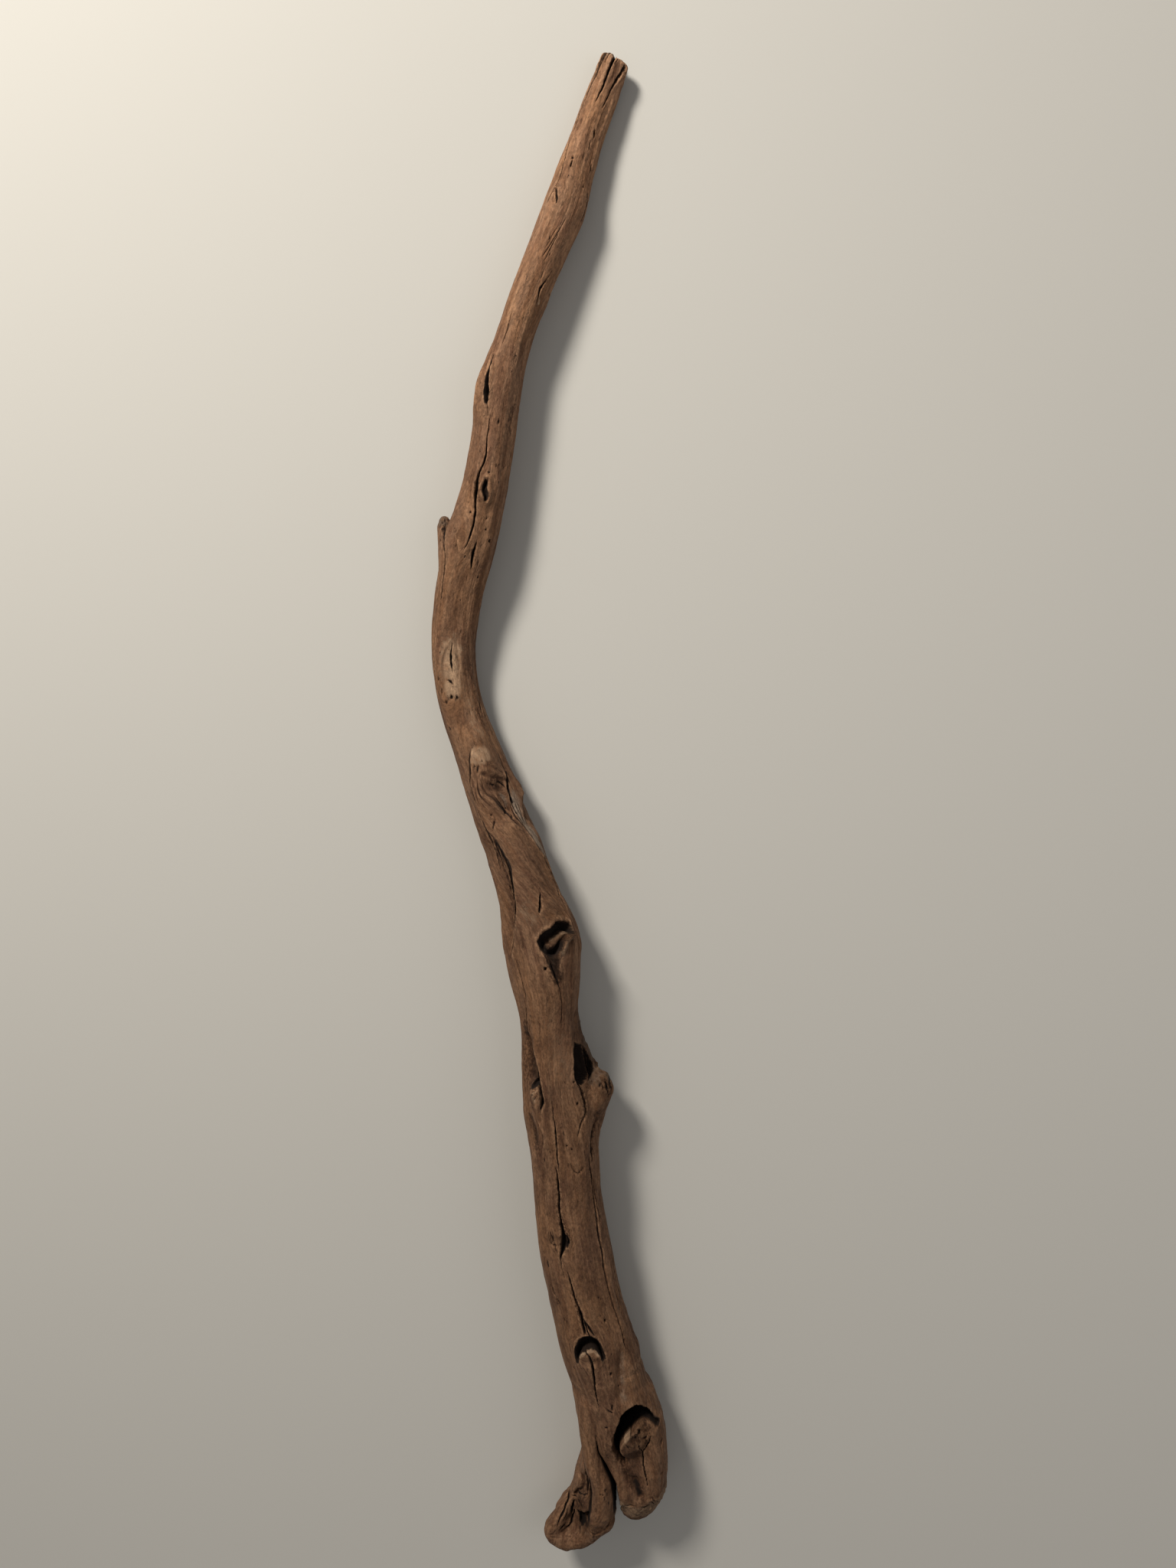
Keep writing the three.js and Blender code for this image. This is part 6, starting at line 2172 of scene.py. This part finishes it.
@dataclass(frozen=True)
class WeatheredWood:
    """Bare wood weathered by water and sun: warm brown and streaked, with painted shade in its cracks and
    hollows and painted light that falls off towards the foot.
    """

    base: tuple = (0.200, 0.098, 0.048, 1.0)
    light: tuple = (0.335, 0.188, 0.104, 1.0)
    dark: tuple = (0.072, 0.031, 0.0155, 1.0)
    line: tuple = (0.042, 0.018, 0.009, 1.0)
    violet: tuple = (0.128, 0.062, 0.036, 1.0)
    pale: tuple = (0.43, 0.275, 0.17, 1.0)
    grey: tuple = (0.33, 0.26, 0.20, 1.0)
    brown: tuple = (0.060, 0.026, 0.012, 1.0)
    pit: tuple = (0.008, 0.004, 0.0025, 1.0)
    pore_share: float = 0.04
    bump_depth: float = 0.00068
    bump_strength: float = 0.9
    roughness: tuple = (0.62, 0.9)
    refraction: float = 1.45
    specular: float = 0.22
    painted_light_span: tuple = (0.0, 0.85)  # places along the wood between which the painted light grows brighter
    painted_light_falloff: tuple = (0.79, 1.25)  # factors on its colour there: painted light, darker at the foot and lighter at the tip

    def build(self) -> bpy.types.Material:
        """Builds the material.

        Returns:
            The material, which reads the tones and the grain that each mesh carries.
        """
        material = bpy.data.materials.new("weathered_wood")
        material.use_nodes = True
        tree = material.node_tree
        tree.nodes.clear()
        graph = Graph(tree)
        grain = graph.add("Attribute", attribute_name="grain").outputs["Vector"]
        position = graph.add("TexCoord").outputs["Object"]
        tone = {t: graph.add("Attribute", attribute_name=t.value).outputs["Fac"] for t in Tone}
        raised = graph.add("Attribute", attribute_name=RAISED).outputs["Fac"]
        fibre = graph.add("Group", {"Grain": grain}, node_tree=fibre_group())
        mottle = graph.add("Group", {"Grain": grain, "Position": position}, node_tree=mottle_group())
        pores = graph.add("Group", {"Grain": grain, "Share": self.pore_share}, node_tree=pore_group())
        fleck = mottle.outputs["Fleck"]
        cloud = mottle.outputs["Cloud"]
        speck = mottle.outputs["Speck"]
        colour = graph.mix(mottle.outputs["Patch"], self.base, self.violet)
        colour = graph.mix(graph.math("MULTIPLY", fibre.outputs["Streak"], 0.5), colour, self.light)
        colour = graph.mix(graph.math("MULTIPLY", cloud, 0.56), colour, self.dark)
        # Crests are lightened: partly edge wear, partly a painted highlight.
        wear_and_highlight = graph.ramp(fleck, 0.2, 0.8, 0.2, 0.55)
        crest = graph.math("MULTIPLY", graph.ramp(raised, 0.52, 0.95), wear_and_highlight)
        colour = graph.mix(crest, colour, self.light)
        # Pale wood, and in places a painted highlight.
        colour = graph.mix(self.broken(graph, tone[Tone.PALE], fleck, 0.35), colour, self.pale)
        grey = self.broken(graph, tone[Tone.GREY], cloud, 0.3)
        colour = graph.mix(graph.math("MULTIPLY", grey, 0.8), colour, self.grey)
        # Brown stains, and in places painted shade.
        brown = self.broken(graph, tone[Tone.BROWN], fleck, 0.7)
        colour = graph.mix(graph.math("MULTIPLY", brown, 0.85), colour, self.brown)
        # Painted shade in hollows.
        colour = graph.mix(graph.math("MULTIPLY", tone[Tone.HOLLOW_SHADE], 0.45), colour, self.dark)
        # Painted shade: dips are darkened towards brown.
        colour = graph.mix(graph.ramp(raised, 0.5, 0.1, 0.0, 0.8), colour, self.brown)
        # Painted light: the wood is darker towards the foot and lighter towards the tip.
        place = graph.add("SeparateXYZ", {0: position}).outputs[1]
        painted_light_falloff = graph.ramp(place, *self.painted_light_span, *self.painted_light_falloff)
        shade = graph.math("MULTIPLY", graph.ramp(fleck, 0.0, 1.0, 0.76, 1.26), painted_light_falloff)
        shade = graph.add("CombineXYZ", {0: shade, 1: shade, 2: shade}).outputs[0]
        colour = graph.mix(1.0, colour, shade, "MULTIPLY")
        colour = graph.mix(graph.math("MULTIPLY", fibre.outputs["Line"], 0.42), colour, self.line)
        colour = graph.mix(graph.math("MULTIPLY", fibre.outputs["Hair"], 0.16), colour, self.line)
        colour = graph.mix(graph.math("MULTIPLY", speck, 0.4), colour, self.line)
        colour = graph.mix(pores.outputs["Pore"], colour, self.pit)
        rotten = graph.math("MULTIPLY", tone[Tone.ROUGH], mottle.outputs["Grit"])
        colour = graph.mix(graph.math("MULTIPLY", rotten, 0.5), colour, self.brown)
        # Painted shade: cracks, splits, pits and holes are painted nearly black.
        crack = graph.ramp(tone[Tone.CRACK_SHADE], 0.12, 0.85, 0.0, 0.97)
        colour = graph.mix(crack, colour, self.pit)
        rough = graph.ramp(fibre.outputs["Streak"], 0.0, 1.0, self.roughness[1], self.roughness[0])
        rough = graph.math("ADD", rough, graph.math("MULTIPLY", tone[Tone.ROUGH], 0.15), clamp=True)
        height = graph.math("ADD", fibre.outputs["Height"], graph.math("MULTIPLY", fleck, 0.5))
        height = graph.math("SUBTRACT", height, graph.math("MULTIPLY", pores.outputs["Pore"], 1.6))
        height = graph.math("SUBTRACT", height, graph.math("MULTIPLY", speck, 0.7))
        height = graph.math("SUBTRACT", height, graph.math("MULTIPLY", rotten, 1.8))
        bump = graph.add("Bump", {
            "Height": height, "Strength": self.bump_strength, "Distance": self.bump_depth,
        })
        shader = graph.add("BsdfPrincipled", {
            "Base Color": colour, "Roughness": rough, "Normal": bump.outputs["Normal"],
            "IOR": self.refraction, "Specular IOR Level": self.specular,
        })
        graph.add("OutputMaterial", {"Surface": shader.outputs[0]})
        return material

    @staticmethod
    def broken(graph: Graph, mask: Socket, pattern: Socket, amount: float) -> Socket:
        """A mask whose edge a pattern breaks up: eased after the pattern is taken off.

        Args:
            graph: Where to build.
            mask: The mask.
            pattern: The pattern.
            amount: How much of the pattern comes off, or is added where negative.

        Returns:
            The broken mask.
        """
        shifted = graph.math("SUBTRACT", mask, graph.math("MULTIPLY", pattern, amount))
        gated = graph.math("MULTIPLY", shifted, graph.ramp(mask, 0.02, 0.3))
        return graph.ramp(gated, 0.15, 0.75)


# Camera, floor and light


@dataclass(frozen=True)
class Lamp:
    """A square area light: name, place, target, length of side, watts and colour."""

    name: str
    place: tuple
    target: tuple
    size: float
    power: float
    colour: tuple

    def hang(self) -> None:
        """Adds the light, facing its target."""
        data = bpy.data.lights.new(self.name, "AREA")
        data.size = self.size
        data.energy = self.power
        data.color = self.colour
        light = bpy.data.objects.new(self.name, data)
        bpy.context.scene.collection.objects.link(light)
        light.location = self.place
        facing = Vector(self.target) - Vector(self.place)
        light.rotation_euler = facing.to_track_quat("-Z", "Y").to_euler()


@dataclass(frozen=True)
class Studio:
    """A pale floor, soft light and the camera that looks down on the branch."""

    eye: tuple = (0.13206, 0.24337, 1.38759)
    aim: tuple = (0.03147, 0.07354, 0.0)
    up: tuple = (-0.03183, 0.99237, -0.11914)
    long_side_sensor: float = 36.0
    lens: float = 27.05
    floor_colour: tuple = (0.50, 0.485, 0.455, 1.0)
    floor_roughness: float = 0.9
    floor_size: float = 60.0
    air_colour: tuple = (1.0, 0.98, 0.95, 1.0)
    air_strength: float = 0.24
    lamps: tuple = (
        Lamp("key", (-1.4, 2.3, 2.0), (0.0, 0.2, 0.0), 0.7, 128.0, (1.0, 0.95, 0.86)),
        Lamp("fill", (1.6, 0.2, 1.8), (0.0, 0.2, 0.0), 1.6, 6.0, (1.0, 0.98, 0.96)),
    )

    def build(self) -> None:
        """Adds the floor, the lights and the camera."""
        self.add_floor()
        for lamp in self.lamps:
            lamp.hang()
        self.add_world()
        self.add_camera()
        bpy.context.scene.view_settings.view_transform = "Standard"

    def add_floor(self) -> None:
        """Adds a plain floor at height zero."""
        half = self.floor_size / 2
        mesh = bpy.data.meshes.new("floor")
        corners = [(-half, -half, 0.0), (half, -half, 0.0), (half, half, 0.0), (-half, half, 0.0)]
        mesh.from_pydata(corners, [], [(0, 1, 2, 3)])
        floor = bpy.data.objects.new("floor", mesh)
        bpy.context.scene.collection.objects.link(floor)
        material = bpy.data.materials.new("floor")
        material.use_nodes = True
        shader = material.node_tree.nodes["Principled BSDF"]
        shader.inputs["Base Color"].default_value = self.floor_colour
        shader.inputs["Roughness"].default_value = self.floor_roughness
        mesh.materials.append(material)

    def add_world(self) -> None:
        """Adds an even soft surrounding light."""
        world = bpy.data.worlds.new("studio")
        world.use_nodes = True
        background = world.node_tree.nodes["Background"]
        background.inputs["Color"].default_value = self.air_colour
        background.inputs["Strength"].default_value = self.air_strength
        bpy.context.scene.world = world

    def add_camera(self) -> None:
        """Adds the camera at the photograph's angle."""
        data = bpy.data.cameras.new("camera")
        data.sensor_fit = "AUTO"
        data.sensor_width = self.long_side_sensor
        data.lens = self.lens
        camera = bpy.data.objects.new("camera", data)
        bpy.context.scene.collection.objects.link(camera)
        back = (Vector(self.eye) - Vector(self.aim)).normalized()
        right = Vector(self.up).cross(back).normalized()
        upward = back.cross(right)
        turn = Matrix((right, upward, back)).transposed().to_4x4()
        camera.matrix_world = Matrix.Translation(Vector(self.eye)) @ turn
        bpy.context.scene.camera = camera


def main() -> None:
    """Builds the pieces in order."""
    logging.basicConfig(level=logging.INFO, format="%(name)s %(message)s")
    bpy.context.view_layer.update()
    fineness = 1.0
    step = FULL_STEP
    Studio().build()
    wood = WeatheredWood().build()
    stem = Stem()
    shaft = thin(stem.build(fineness))
    dress(shaft, wood, "stem")
    foot = thin(Foot().build(stem, step))
    dress(foot, wood, "toe_root", "heel_root")
    for branch in (KNOB, STUB):
        piece = thin(branch.build(stem, step))
        dress(piece, wood, branch.node)


if __name__ == "__main__":
    main()
